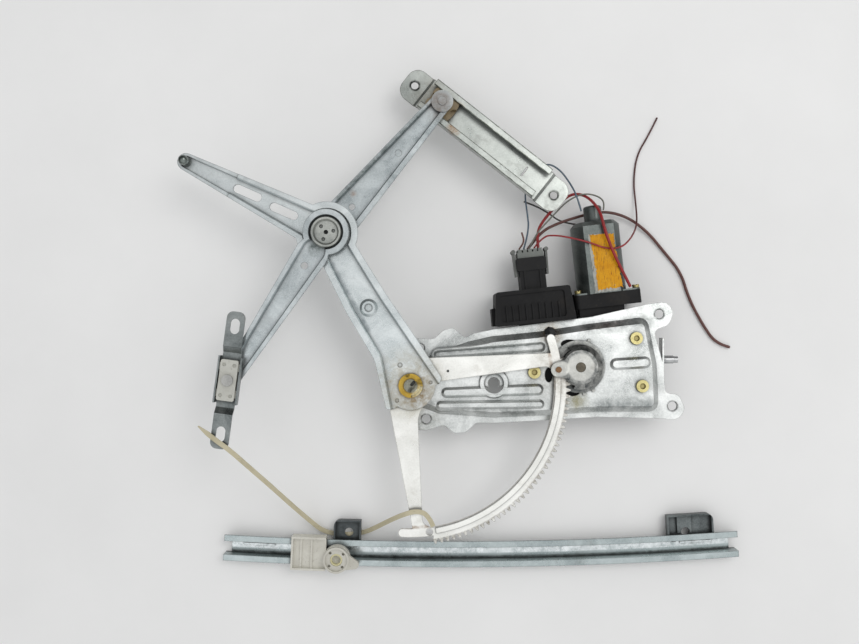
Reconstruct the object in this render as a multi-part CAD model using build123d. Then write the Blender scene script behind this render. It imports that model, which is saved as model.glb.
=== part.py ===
from build123d import *
import os
from math import acos, atan2, cos, degrees, hypot, pi, radians, sin, tan

os.makedirs("parts", exist_ok=True)

# Double-arm (X type) electric window regulator, laid flat with its lift rail taken off.
# All sizes are in millimetres. Z = 0 is the bench; X and Y are drawn from the sector
# pivot, and everything is shifted at the end so that the origin is the middle of the base.
PIVOT_X, PIVOT_Y = -56.5, -62.2

# ---- arms ---------------------------------------------------------------------------
ARM_REACH = 173.0          # sector pivot to centre joint, and centre joint to bracket pin
GUIDE_REACH = 175.5        # centre joint to guide pin
ARM_ANGLE = 118.7          # direction of the centre joint, seen from the sector pivot
LIFT_REACH = 157.0         # centre joint to ball stud
LIFT_ANGLE = 153.2
GUIDE_ANGLE = 49.2         # direction of the guided end, seen from the centre joint
CARRY_ANGLE = -123.0       # direction of the bracket end
ARM_GAUGE = 2.5
ARM_RIM = 4.0              # width of the raised rim round the drive arm
ARM_DEPTH = 7.5            # web underside to rim top
TIP_DEPTH = 4.5            # the same at the ball stud, where the rim is lower
HUB_RADIUS = 31.0
PRESS_DRAFT = 20.0         # slope of pressed walls, degrees
PLATE_DRAFT = 46.0         # the same in the mounting plate, whose walls lean more
TIP_STATION = LIFT_REACH - 53.0    # where the drive arm's rim steps down towards the ball

# ---- levels (heights above the bench) -----------------------------------------------
PLATE_LOW = 40.0           # underside of the plate's edge
SECTOR_LOW = 53.0
SECTOR_GAUGE = 3.0
ARM_LOW = SECTOR_LOW + SECTOR_GAUGE
HALF_DEPTH = 6.0           # depth of the cross arm's pressing
HALF_GAP = 1.5             # room between the drive arm and the half that runs over it
UPPER_HALF_LOW = ARM_LOW - HALF_DEPTH - 2.5    # the half that runs under the drive arm
LOWER_HALF_LOW = ARM_LOW + ARM_DEPTH + HALF_GAP
BRACKET_LOW = LOWER_HALF_LOW + HALF_DEPTH + HALF_GAP

# ---- sector and pinion --------------------------------------------------------------
MODULE = 2.0
SECTOR_TEETH = 159         # in a full circle
PINION_TEETH = 11
PRESSURE_ANGLE = 20.0
PROFILE_SHIFT = 0.4        # in modules, out on the pinion and in on the sector
BACKLASH = 0.24
DRIVE_ANGLE = 6.2          # direction of the pinion, seen from the sector pivot
FIRST_TOOTH, LAST_TOOTH = -39, 1   # tooth spaces counted from the pinion
RIM_INNER = 143.5
RIM_OUTER = 152.0
RIM_FROM, RIM_TO = -93.2, 18.5
SECTOR_HUB = 24.0

# ---- pivots -------------------------------------------------------------------------
RUNNING = 0.06             # radial clearance of a running fit
GAP = 0.3                  # room between parts that slide over each other
STUD_RADIUS = 6.6
RING_RADIUS = 12.0
HUB_PIN_RADIUS = 8.0
END_PIN_RADIUS = 4.3
BALL_RADIUS = 5.0
BALL_RISE = 11.0           # middle of the ball above the arm's web

# ---- mounting plate -----------------------------------------------------------------
PLATE_GAUGE = 2.0
FIELD_RISE = 6.0           # how far the middle of the plate is pressed up
BEAD_RISE = 2.6
EAR_HOLE = 4.5
EAR_POINTS = [(8.7, 36.7), (15.5, -35.3), (252.5, 71.4), (265.8, -22.2)]
SCREW_POINTS = [(227.2, 46.9), (233.3, -1.3), (124.4, 12.6)]

# ---- motor and gearbox --------------------------------------------------------------
MOTOR_BASE = (197.7, 93.2)
MOTOR_TURN = 6.45          # the motor leans this far left of straight up
MOTOR_LEVEL = 24.0
CAN_LENGTH = 74.0
CAN_RADIUS = 25.0
CAN_FLAT = 19.5            # half the thickness across its flats
CAN_WALL = 1.6
NOSE_RADIUS = 9.3
NOSE_LENGTH = 17.0
SHAFT_RADIUS = 4.0
WORM_RADIUS = 7.0
WORM_CORE = 4.8
WHEEL_RADIUS = 30.6        # pitch radius of the worm wheel
WHEEL_TEETH = 50
HOUSING_FLOOR = 3.0
HOUSING_RADIUS = 36.0
COVER_RADIUS = 26.5
COVER_TOP = SECTOR_LOW + 9.0
COVER_GAUGE = 1.5

# ---- guide rail ---------------------------------------------------------------------
GUIDE_SPACING = 182.3      # between its two fixing holes
GUIDE_TURN = -38.3
GUIDE_STATION = 35.6       # from the first hole to the guided end of the arm
GUIDE_WIDTH = 34.5
GUIDE_LIP = 6.4
GUIDE_DEPTH = 12.0
GUIDE_GAUGE = 1.8
GUIDE_LOW = UPPER_HALF_LOW - GUIDE_DEPTH - 2.5
ROLLER_LENGTH = 30.0

# ---- lift rail ----------------------------------------------------------------------
RAIL_CURVE = 4050.0        # radius of its gentle bow
RAIL_LENGTH = 542.0
RAIL_MIDDLE = (73.0, -181.3)
RAIL_TILT = 0.4
RAIL_WIDTH = 27.0
RAIL_FLANGE = 4.9
RAIL_DEPTH = 13.6
RAIL_GAUGE = 1.5

PIVOT = (0.0, 0.0)


# ---- helpers ------------------------------------------------------------------------
def polar(origin, reach, angle):
    """The point at a distance and direction from another."""
    return (origin[0] + reach * cos(radians(angle)), origin[1] + reach * sin(radians(angle)))


def along(origin, angle):
    """A place whose own x axis runs from origin in a direction."""
    return Pos(origin[0], origin[1], 0) * Rot(0, 0, angle)


def disc(centre, radius):
    return Pos(centre[0], centre[1], 0) * Circle(radius)


def slab(sketch, low, high):
    """A flat sketch as a plate between two heights."""
    return extrude(Pos(0, 0, low) * sketch, amount=high - low, dir=(0, 0, 1))


def rod(centre, radius, low, high):
    return slab(disc(centre, radius), low, high)


def limb(start, end, start_radius, end_radius):
    """A tapered bar with round ends."""
    heading = degrees(atan2(end[1] - start[1], end[0] - start[0]))
    spacing = hypot(end[0] - start[0], end[1] - start[1])
    lean = degrees(acos((start_radius - end_radius) / spacing))
    near = [polar(start, start_radius, heading + turn) for turn in (lean, 180, -lean)]
    far = [polar(end, end_radius, heading + turn) for turn in (-lean, 0, lean)]
    sides = [Line(near[2], far[0]), Line(far[2], near[0])]
    return make_face([ThreePointArc(*near), sides[0], ThreePointArc(*far), sides[1]])


def outline(corners):
    """A closed outline through (x, y, corner radius) points, counter-clockwise or not."""
    edges, ends = [], []
    for n, (x, y, radius) in enumerate(corners):
        corner = Vector(x, y)
        back = (Vector(*corners[n - 1][:2]) - corner).normalized()
        ahead = (Vector(*corners[(n + 1) % len(corners)][:2]) - corner).normalized()
        half = radians(back.get_angle(ahead)) / 2
        if radius == 0 or half > pi / 2 - 0.001:
            ends.append((corner, corner))
            continue
        start, end = corner + back * (radius / tan(half)), corner + ahead * (radius / tan(half))
        middle = corner + (back + ahead).normalized() * (radius / sin(half) - radius)
        edges.append(ThreePointArc(start, middle, end))
        ends.append((start, end))
    for n, (start, _) in enumerate(ends):
        if (start - ends[n - 1][1]).length > 0.001:
            edges.append(Line(ends[n - 1][1], start))
    return make_face(edges)


def ring_sector(inner, outer, start, end):
    """The part of a ring between two directions, about the sector pivot."""
    reach = outer * 1.6
    steps = [start + (end - start) * n / 4 for n in range(5)]
    wedge = Polygon([PIVOT, *[polar(PIVOT, reach, a) for a in steps]], align=None)
    return (Circle(outer) - Circle(inner)) & wedge


def sunk(pockets, top, depth, shrink=0.0, draft=PRESS_DRAFT):
    """Tapered solids going down from a height, one for each convex pocket, fused."""
    faces = [offset(pocket, -shrink) if shrink else pocket for pocket in pockets]
    return joined([
        extrude(Pos(0, 0, top) * face, amount=depth, dir=(0, 0, -1), taper=draft)
        for face in faces
    ])


def pressing(edge, pockets, low, depth, gauge):
    """A shallow sheet tray: a flat rim at the top, sloped walls and a flat floor."""
    top = low + depth
    sheet = slab(edge, top - gauge, top)
    cup = sunk(pockets, top, depth) & slab(edge, low, top)
    return (sheet + cup) - sunk(pockets, top, depth - gauge, gauge)


def bead(sketch, floor, rise):
    """A raised rib pressed into a sheet, as a solid with sloped sides."""
    return extrude(Pos(0, 0, floor) * sketch, amount=rise, dir=(0, 0, 1), taper=PRESS_DRAFT * 1.5)


def joined(pieces):
    """Several solids fused one by one."""
    whole = pieces[0]
    for piece in pieces[1:]:
        whole = whole + piece
    return whole


def round_edges(solid, points, radius):
    """Rounds the upright edge nearest to each (x, y) point."""
    for x, y in points:
        upright = solid.edges().filter_by(Axis.Z)
        nearest = upright.sort_by_distance(Vector(x, y, solid.center().Z))[0]
        solid = fillet(nearest, radius)
    return solid


def raised(sheet, faces, floor, rise, gauge):
    """Sheet metal pressed up inside each face, open underneath."""
    for face in faces:
        sheet += extrude(Pos(0, 0, floor) * face, amount=rise + gauge, dir=(0, 0, 1), taper=PLATE_DRAFT)
    for face in faces:
        inside = offset(face, -gauge)
        sheet -= extrude(Pos(0, 0, floor) * inside, amount=rise, dir=(0, 0, 1), taper=PLATE_DRAFT)
    return sheet


def involute(angle):
    return tan(angle) - angle


def tooth_points(teeth, shift, centre_angle, flank_steps=3):
    """One involute gear tooth about the origin, root to tip to root, clockwise last."""
    pitch_radius = MODULE * teeth / 2
    pressure = radians(PRESSURE_ANGLE)
    base = pitch_radius * cos(pressure)
    tip = pitch_radius + MODULE * (1 + shift)
    root = pitch_radius - MODULE * (1.25 - shift)
    half = (pi / 2 + 2 * shift * tan(pressure)) / teeth - BACKLASH / 2 / pitch_radius
    start = max(base, root)
    flank = []
    for n in range(flank_steps + 1):
        radius = start + (tip - start) * n / flank_steps
        turn = half + involute(pressure) - involute(acos(min(1.0, base / radius)))
        flank.append((radius, degrees(turn)))
    if root < start:
        flank.insert(0, (root, flank[0][1]))
    rising = [polar(PIVOT, r, centre_angle - a) for r, a in flank]
    falling = [polar(PIVOT, r, centre_angle + a) for r, a in reversed(flank)]
    return rising + falling


# ---- places that several pieces share -------------------------------------------------
CENTRE = polar(PIVOT, ARM_REACH, ARM_ANGLE)
BALL_POINT = polar(CENTRE, LIFT_REACH, LIFT_ANGLE)
GUIDED = polar(CENTRE, GUIDE_REACH, GUIDE_ANGLE)
CARRIED = polar(CENTRE, ARM_REACH, CARRY_ANGLE)
CENTRE_DISTANCE = MODULE * (SECTOR_TEETH + PINION_TEETH) / 2
DRIVE = polar(PIVOT, CENTRE_DISTANCE, DRIVE_ANGLE)
TOOTH_STEP = 360 / SECTOR_TEETH
SECTOR_TOP = SECTOR_LOW + SECTOR_GAUGE
ARM_FLOOR = ARM_LOW + ARM_GAUGE
PLATE_TOP = PLATE_LOW + PLATE_GAUGE
FIELD_TOP = PLATE_TOP + FIELD_RISE
RIB_RISE = 1.2


# ---- drive arm and sector ---------------------------------------------------------------
def sector_gear():
    """Toothed sector with two spokes, riveted under the drive arm."""
    first = DRIVE_ANGLE + (FIRST_TOOTH + 0.5) * TOOTH_STEP
    count = LAST_TOOTH - FIRST_TOOTH + 1
    points = []
    for n in range(count):
        points += tooth_points(SECTOR_TEETH, -PROFILE_SHIFT, first + n * TOOTH_STEP, 2)
    inner = [polar(PIVOT, RIM_OUTER - 3, first + (count - 1) * TOOTH_STEP * (1 - n / 12)) for n in range(13)]
    teeth = Polygon(points + inner, align=None)
    middle = (RIM_INNER + RIM_OUTER) / 2
    end_radius = (RIM_OUTER - RIM_INNER) / 2
    band = ring_sector(RIM_INNER, RIM_OUTER, RIM_FROM, RIM_TO)
    horns = [disc(polar(PIVOT, middle, a), end_radius) for a in (RIM_FROM, RIM_TO)]
    upper_spoke = limb((18, 15), polar(PIVOT, RIM_INNER + 0.9, 10.45), 12.5, 6.2)
    lower_spoke = limb((-8, -14), polar(PIVOT, RIM_INNER + 1.7, -87.16), 14.5, 5.0)
    flat = joined([Circle(SECTOR_HUB), upper_spoke, lower_spoke, band, *horns, teeth])
    gear = slab(flat, SECTOR_LOW, SECTOR_TOP)
    gear = round_edges(gear, [polar(PIVOT, RIM_INNER, a) for a in (-85.08, 7.93)], 9.0)
    gear = round_edges(gear, [(20, -15)], 25.0)
    rib = ring_sector(RIM_INNER + 1, RIM_OUTER - 2, RIM_FROM + 13, LAST_TOOTH + 6)
    gear += slab(rib, SECTOR_TOP, SECTOR_TOP + RIB_RISE)
    gear -= rod(PIVOT, STUD_RADIUS + RUNNING, 0, ARM_LOW)
    gear -= rod(polar(PIVOT, middle, RIM_FROM + 10.5), 3.4, 0, ARM_LOW)
    gear -= rod((37.2, 14.3), 1.2, 0, ARM_LOW)
    return gear


def drive_arm():
    """Bent main arm: one stamping from the sector pivot past the centre joint to the ball."""
    frame = along(PIVOT, ARM_ANGLE)
    lower = frame * outline([
        (-12, -26, 3), (-8, -31, 4), (30, -28.5, 60), (92, -22.5, 80), (ARM_REACH, -18, 0),
        (ARM_REACH, 18, 0), (95, 21, 80), (40, 19, 25), (-9, 32.5, 3), (-12, 27, 3),
    ])
    lower_pocket = frame * outline([
        (-60, -33.5, 0), (30, -24.5, 60), (92, -18.5, 80), (ARM_REACH, -14.5, 0),
        (ARM_REACH, 14.5, 0), (95, 17, 80), (40, 15, 25), (-60, 46.5, 0),
    ])
    reach = limb(CENTRE, BALL_POINT, 20.5, 8.6)
    reach_pocket = limb(CENTRE, BALL_POINT, 17.5, 8.55)
    edge = joined([disc(CENTRE, HUB_RADIUS), reach, lower, Circle(24.5)])
    pockets = [disc(CENTRE, HUB_RADIUS - ARM_RIM), reach_pocket, lower_pocket]
    arm = pressing(edge, pockets, ARM_LOW, ARM_DEPTH, ARM_GAUGE)
    past_step = along(CENTRE, LIFT_ANGLE) * Pos(TIP_STATION + 50, 0) * Rectangle(100, 60)
    riser = along(CENTRE, LIFT_ANGLE) * Pos(TIP_STATION - 1, 0) * Rectangle(2, 60)
    arm -= slab(past_step, 0, 100)
    arm += pressing(reach, [reach_pocket], ARM_LOW, TIP_DEPTH, ARM_GAUGE) & slab(past_step, 0, 100)
    wall = slab(reach & riser, ARM_LOW + TIP_DEPTH - ARM_GAUGE, ARM_LOW + ARM_DEPTH)
    arm += wall - sunk([reach_pocket], ARM_LOW + ARM_DEPTH, ARM_DEPTH)
    slot = SlotOverall(30, 8.5)
    for station in (89, 48.5):
        window = along(CENTRE, LIFT_ANGLE) * Pos(station, 0) * Rot(0, 0, 3) * slot
        arm -= slab(window, 0, 100)
    arm += frame * Pos(88, -0.5, ARM_FLOOR) * Cone(9, 6.5, 2.2, align=(Align.CENTER, Align.CENTER, Align.MIN))
    arm -= frame * Pos(88, -0.5, ARM_FLOOR + 1) * Cylinder(4, 5, align=(Align.CENTER, Align.CENTER, Align.MIN))
    for x, y, radius in ((23, -0.5, 2.4), (-6.6, 19.1, 2.0), (-6.8, -18.9, 1.8)):
        arm -= frame * Pos(x, y, ARM_FLOOR) * Cylinder(radius, 2)
    arm -= rod(PIVOT, STUD_RADIUS + RUNNING, 0, 100)
    arm -= rod(CENTRE, HUB_PIN_RADIUS + RUNNING, 0, 100)
    arm -= rod(BALL_POINT, BALL_RADIUS * 0.6, 0, 100)
    return arm


def ball_stud():
    """Ball stud riveted in the tip of the drive arm, ball towards the glass."""
    neck = BALL_RADIUS * 0.6
    stem = rod(BALL_POINT, neck, ARM_LOW - 0.8, ARM_FLOOR + BALL_RISE)
    head = rod(BALL_POINT, neck + 1.6, ARM_LOW - 1.6, ARM_LOW)
    collar = rod(BALL_POINT, neck + 1.6, ARM_FLOOR, ARM_FLOOR + 2)
    ball = Pos(*BALL_POINT, ARM_FLOOR + BALL_RISE) * Sphere(BALL_RADIUS)
    return joined([stem, head, collar, ball])


def pivot_stud():
    """Shouldered stud riveted in the plate, on which sector and drive arm turn together."""
    foot = rod(PIVOT, STUD_RADIUS, FIELD_TOP - PLATE_GAUGE - 1.5, ARM_FLOOR + 5)
    shoulder = rod(PIVOT, SECTOR_HUB / 2, FIELD_TOP, SECTOR_LOW - GAP)
    slot = slab(along(PIVOT, 48) * Pos(3.4, 0) * SlotOverall(6.5, 3.2), ARM_FLOOR + 2, ARM_FLOOR + 6)
    return joined([foot, shoulder]) - slot


def pivot_ring():
    """Plated retaining ring pressed on the stud, open over a quarter of a turn."""
    low = ARM_FLOOR + GAP
    ring = rod(PIVOT, RING_RADIUS, low, low + 2.6) - rod(PIVOT, STUD_RADIUS, low - 1, low + 5)
    return ring - slab(ring_sector(STUD_RADIUS + 3, RING_RADIUS + 4, -88, -2), low + 0.9, low + 5)


# ---- cross arm ------------------------------------------------------------------------
def cross_arm_upper():
    """Cross arm half under the drive arm, from the centre joint to the guide pin."""
    edge = limb(CENTRE, GUIDED, 20, 10.2)
    aside = GUIDE_ANGLE + 90
    pockets = [limb(polar(CENTRE, 1.2, aside), polar(GUIDED, 0.9, aside), 17.8, 8.2)]
    arm = pressing(edge, pockets, UPPER_HALF_LOW, HALF_DEPTH, 2.0)
    arm -= rod(CENTRE, HUB_PIN_RADIUS - 3, 0, 100)
    arm -= rod(GUIDED, END_PIN_RADIUS, 0, 100)
    for station, radius in ((36.3, 3.0),):
        arm -= rod(polar(CENTRE, station, GUIDE_ANGLE), radius, 0, 100)
    mark = rod(polar(CENTRE, 108, GUIDE_ANGLE), 3.5, UPPER_HALF_LOW + 1.6, UPPER_HALF_LOW + 3)
    return arm - mark


def cross_arm_lower():
    """Cross arm half over the drive arm, from the centre joint to the bracket pin."""
    edge = limb(polar(CENTRE, 26, CARRY_ANGLE), CARRIED, 16.5, 9.2) + disc(CENTRE, 22.7)
    pockets = [disc(CENTRE, 19.5), limb(polar(CENTRE, 22, CARRY_ANGLE), CARRIED, 14.2, 7.8)]
    arm = pressing(edge, pockets, LOWER_HALF_LOW, HALF_DEPTH, 2.2)
    arm -= rod(CENTRE, HUB_PIN_RADIUS - 3, 0, 100)
    arm -= rod(CARRIED, END_PIN_RADIUS, 0, 100)
    arm -= rod(polar(CENTRE, 39.3, CARRY_ANGLE), 3.4, 0, 100)
    return arm


def hub_rivet():
    """Stepped rivet that joins the two cross arm halves through the drive arm."""
    small = HUB_PIN_RADIUS - 3
    upper_floor = LOWER_HALF_LOW + 2.2
    steps = [
        (small + 3, UPPER_HALF_LOW - 1.4, UPPER_HALF_LOW),
        (small, UPPER_HALF_LOW, UPPER_HALF_LOW + 2),
        (10.2, UPPER_HALF_LOW + 2, ARM_LOW - GAP),
        (HUB_PIN_RADIUS, ARM_LOW - GAP, ARM_FLOOR + GAP),
        (13, ARM_FLOOR + GAP, LOWER_HALF_LOW),
        (small, LOWER_HALF_LOW, upper_floor),
    ]
    profile = Polyline(
        (0, 0), (15.8, 0), (15.8, 2.0), (14.6, 4.0), (12.8, 4.0), (11.2, 1.6), (0, 1.6), close=True)
    head = Pos(*CENTRE, upper_floor) * revolve(Plane.XZ * make_face(profile), Axis.Z)
    rivet = joined([*[rod(CENTRE, radius, low, high) for radius, low, high in steps], head])
    rivet -= rod(CENTRE, 2.2, upper_floor - 3, upper_floor + 9)
    for n in range(3):
        dimple = polar(CENTRE, 7.4, 10 + 120 * n)
        rivet -= rod(dimple, 1.9, upper_floor + 0.2, upper_floor + 9)
    return rivet


def guide_pin():
    """Pin riveted in the guided end, with a wide washer head over the arm's rim."""
    rim_top = UPPER_HALF_LOW + HALF_DEPTH
    roller_floor = GUIDE_LOW + GUIDE_GAUGE + GAP
    steps = [
        (11.0, rim_top, rim_top + 1.2),
        (END_PIN_RADIUS, roller_floor + 1.6, rim_top + 2.0),
        (END_PIN_RADIUS + 2.4, roller_floor + 0.2, roller_floor + 1.6),
    ]
    return joined([rod(GUIDED, radius, low, high) for radius, low, high in steps])


def bracket_pin():
    """Pin riveted in the bracket end; its head holds the bracket's plastic block."""
    steps = [
        (END_PIN_RADIUS + 2, LOWER_HALF_LOW - 1.0, LOWER_HALF_LOW),
        (END_PIN_RADIUS, LOWER_HALF_LOW, BLOCK_TOP + GAP),
        (8.6, LOWER_HALF_LOW + HALF_DEPTH, BRACKET_LOW - GAP),
        (5.6, BLOCK_TOP + GAP, BLOCK_TOP + GAP + 1.2),
    ]
    return joined([rod(CARRIED, radius, low, high) for radius, low, high in steps])


# ---- guide rail and its roller ------------------------------------------------------------
GUIDE_FRAME = along(polar(GUIDED, -GUIDE_STATION, GUIDE_TURN), GUIDE_TURN)
CHANNEL_FROM, CHANNEL_TO = 17.0, GUIDE_SPACING - 17.0


def guide_rail():
    """C section channel with in-turned lips; its two ends step down to bolt-on ears."""
    inside = GUIDE_WIDTH - 2 * GUIDE_GAUGE
    mouth = GUIDE_WIDTH - 2 * GUIDE_LIP
    length = CHANNEL_TO - CHANNEL_FROM
    body = Pos(CHANNEL_FROM + length / 2, 0) * Rectangle(length, GUIDE_WIDTH)
    hollow = Pos(CHANNEL_FROM + length / 2, 0) * Rectangle(length + 2, inside)
    opening = Pos(CHANNEL_FROM + length / 2, 0) * Rectangle(length + 2, mouth)
    top = GUIDE_LOW + GUIDE_DEPTH
    rail = slab(body, GUIDE_LOW, top)
    rail -= slab(hollow, GUIDE_LOW + GUIDE_GAUGE, top - GUIDE_GAUGE)
    rail -= slab(opening, GUIDE_LOW + GUIDE_GAUGE, top + 1)
    step = 3.0
    for hole, edge, sign in ((0, CHANNEL_FROM, -1), (GUIDE_SPACING, CHANNEL_TO, 1)):
        top = GUIDE_LOW + GUIDE_GAUGE
        profile = Polyline(
            (edge, GUIDE_LOW), (edge, top), (edge + sign * 3, top), (edge + sign * 6, top - step),
            (hole + sign * 12, top - step), (hole + sign * 12, GUIDE_LOW - step),
            (edge + sign * 5.4, GUIDE_LOW - step), (edge + sign * 2.4, GUIDE_LOW), close=True)
        ear = extrude(Plane.XZ * make_face(profile), amount=GUIDE_WIDTH / 2, both=True)
        tip = [e for e in ear.edges().filter_by(Axis.Z) if abs(e.center().X - hole - sign * 12) < 0.1]
        rail += fillet(tip, 12.0)
        rail -= Pos(hole, 0, GUIDE_LOW) * Cylinder(3.8, 20)
    rail -= Pos(CHANNEL_TO - 14, 0, GUIDE_LOW) * Cylinder(6.0, 1.2)
    rail -= Pos(CHANNEL_TO - 22, 0, GUIDE_LOW) * Box(1.6, 11, 10)
    return GUIDE_FRAME * rail


def guide_roller():
    """Plastic slide roller on the guide pin, caught under the rail's lips."""
    low = GUIDE_LOW + GUIDE_GAUGE + GAP
    high = GUIDE_LOW + GUIDE_DEPTH - GUIDE_GAUGE - GAP
    width = GUIDE_WIDTH - 2 * GUIDE_GAUGE - 2 * GAP
    frame = along(GUIDED, GUIDE_TURN)
    block = frame * RectangleRounded(ROLLER_LENGTH, width, 9)
    neck = rod(GUIDED, (GUIDE_WIDTH - 2 * GUIDE_LIP) / 2 - GAP, high, UPPER_HALF_LOW - GAP)
    roller = slab(block, low, high) + neck
    for side in (-1, 1):
        notch = frame * Pos(side * ROLLER_LENGTH / 2, 0) * Circle(4)
        roller -= slab(notch, low + 2, high + 1)
    roller -= rod(GUIDED, END_PIN_RADIUS + RUNNING, 0, 100)
    return roller - rod(GUIDED, END_PIN_RADIUS + 2.4 + GAP, low - 1, low + 1.6 + GAP)


# ---- glass bracket on the cross arm ------------------------------------------------------
BRACKET_ANGLE = 82.3
BRACKET_SPACING = 105.6    # between its two slots
BRACKET_GAUGE = 1.6
CHANNEL_WIDTH = 23.4
CHANNEL_LENGTH = 46.0
BLOCK_WIDTH, BLOCK_LENGTH = 17.2, 40.0
BLOCK_TOP = BRACKET_LOW + 7.5
BRACKET_RISE = 4.0         # how far its ears step up


def glass_bracket():
    """Channel that holds the sliding block, with a slotted ear stepped up at each end."""
    floor = Rectangle(CHANNEL_LENGTH, CHANNEL_WIDTH)
    bracket = slab(floor, BRACKET_LOW, BLOCK_TOP - 0.6)
    hollow = Rectangle(CHANNEL_LENGTH + 2, CHANNEL_WIDTH - 2 * BRACKET_GAUGE)
    bracket -= slab(hollow, BRACKET_LOW + BRACKET_GAUGE, BLOCK_TOP + 2)
    for sign in (-1, 1):
        edge = sign * CHANNEL_LENGTH / 2
        slot_at = sign * BRACKET_SPACING / 2
        end = sign * (BRACKET_SPACING / 2 + 14.5)
        low, high = BRACKET_LOW, BRACKET_LOW + BRACKET_RISE
        profile = Polyline(
            (edge, low), (edge, low + BRACKET_GAUGE), (edge + sign * 4, low + BRACKET_GAUGE),
            (edge + sign * 10, high + BRACKET_GAUGE), (end, high + BRACKET_GAUGE), (end, high),
            (edge + sign * 10.8, high), (edge + sign * 4.8, low), close=True)
        ear = extrude(Plane.XZ * make_face(profile), amount=9.0, both=True)
        tip = [e for e in ear.edges().filter_by(Axis.Z) if abs(e.center().X - end) < 0.1]
        bracket += fillet(tip, 6.5)
        bracket -= Pos(slot_at, 0, high) * extrude(SlotOverall(15, 9), amount=10, both=True)
    slot = SlotOverall(2 * (END_PIN_RADIUS + 1) + CHANNEL_LENGTH - BLOCK_LENGTH, 2 * (END_PIN_RADIUS + 1))
    bracket -= slab(slot, 0, 100)
    return along(CARRIED, BRACKET_ANGLE) * bracket


def slide_block():
    """Plastic block in the bracket's channel; it turns on the bracket pin."""
    low = BRACKET_LOW + BRACKET_GAUGE + 0.1
    block = slab(RectangleRounded(BLOCK_LENGTH, BLOCK_WIDTH, 2.0), low, BLOCK_TOP)
    wide = BLOCK_WIDTH + 2 * (CHANNEL_WIDTH / 2 - BRACKET_GAUGE - BLOCK_WIDTH / 2 - 0.1)
    for sign in (-1, 1):
        block += slab(Pos(sign * 13, 0) * Rectangle(7, wide), low, BLOCK_TOP - 2.4)
    for x, y in ((-15, 5), (-15, -5), (15, 5), (15, -5)):
        block -= slab(Pos(x, y) * Circle(1.8), BLOCK_TOP - 1.5, BLOCK_TOP + 1)
    block = along(CARRIED, BRACKET_ANGLE) * block
    return block - rod(CARRIED, END_PIN_RADIUS + RUNNING, 0, 100)


# ---- mounting plate -------------------------------------------------------------------------
PLATE_EDGE = [
    (-18, -20, 14), (-2, -46, 9), (16, -47, 6), (33.5, -41.4, 6), (44, -50, 5), (56, -49, 6),
    (66, -39.4, 5), (86, -39.4, 30), (135, -36.8, 60), (189, -33.3, 60), (256, -35, 10),
    (270, -37, 12), (280, -26, 10), (272, -10, 8), (259, -9, 5), (256, 22, 60), (247, 55, 6),
    (262, 60, 10), (267, 72, 9), (262, 84, 11), (243, 82, 6), (183, 68.4, 60), (85.4, 56.2, 30),
    (63, 51.6, 6), (55, 47, 4), (43, 58, 6), (33, 55, 6), (22.9, 46, 8), (4, 47, 9), (-18, 22, 14),
]
FIELD_EDGE = [
    (-15, -16, 12), (12, -26, 12), (28, -32, 14), (84, -36, 24), (140, -33.5, 24), (190, -30, 24),
    (254, -30, 12), (252, 20, 60), (241.5, 71, 12), (180, 63.5, 40), (128, 55.5, 30), (82, 51, 14),
    (56, 45, 12), (16, 30, 12), (-15, 17, 12),
]
BEADS = [                  # start, end, radius at each
    ((36, -8), (128, -4.8), 7.4, 8.0),
    ((30, -20.8), (130, -19.5), 6.6, 6.8),
    ((207, 20.8), (236, 22.5), 8.2, 8.2),
]
GROOVE = ((27, 30.5), (131, 38.2), 4.2, 5.0)
GROOVE_DEPTH = 2.4
BOSS_AT = (83.7, 1.5)
WINDOWS = ((112, 17, 9, 24.5), (257, 15, 8, 26.5), (196, 8, 15, 31))
STAR_HOLE = (141, 52.8)
COLLAR_RADIUS = 18.0
FLANGE_X = 256.6
PEG_AT = (24.9, 35.5)      # y and height of the peg in the turned-down edge


def mounting_plate():
    """Pressed steel plate: low edge with four bolt ears, raised middle with long beads."""
    sheet = slab(outline(PLATE_EDGE), PLATE_LOW, PLATE_TOP)
    field = outline(FIELD_EDGE)
    plate = raised(sheet, [field], PLATE_LOW, FIELD_RISE, PLATE_GAUGE)
    groove = limb(*GROOVE)
    plate += sunk([offset(groove, PLATE_GAUGE)], FIELD_TOP, GROOVE_DEPTH + PLATE_GAUGE, 0, PLATE_DRAFT)
    plate -= sunk([groove], FIELD_TOP, GROOVE_DEPTH, 0, PLATE_DRAFT)
    plate = raised(plate, [limb(*b) for b in BEADS], FIELD_TOP - PLATE_GAUGE, BEAD_RISE, PLATE_GAUGE)
    plate += bead(disc(BOSS_AT, 15.5), FIELD_TOP - 0.2, BEAD_RISE)
    plate -= rod(BOSS_AT, 10, FIELD_TOP - 0.5, FIELD_TOP + 5)
    plate -= rod(BOSS_AT, 6.0, 0, 100)
    plate += slab(Pos(FLANGE_X, 21) * Rectangle(PLATE_GAUGE, 52), PLATE_LOW - 10, PLATE_TOP)
    plate -= rod(DRIVE, COLLAR_RADIUS, 0, 100)
    for turn, wide, high, reach in WINDOWS:
        plate -= slab(Pos(*polar(DRIVE, reach, turn)) * Ellipse(wide / 2, high / 2), 0, 100)
    plate -= slab(Pos(*STAR_HOLE) * RegularPolygon(6, 7), 0, 100)
    for points, radius in ((EAR_POINTS, EAR_HOLE), (SCREW_POINTS, 3.2), ([PIVOT], STUD_RADIUS)):
        for point in points:
            plate -= rod(point, radius, 0, 100)
    return plate - Pos(FLANGE_X, *PEG_AT) * Rot(0, 90, 0) * Cylinder(PEG_STEM, 20)


PEG_STEM = 2.6


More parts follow.
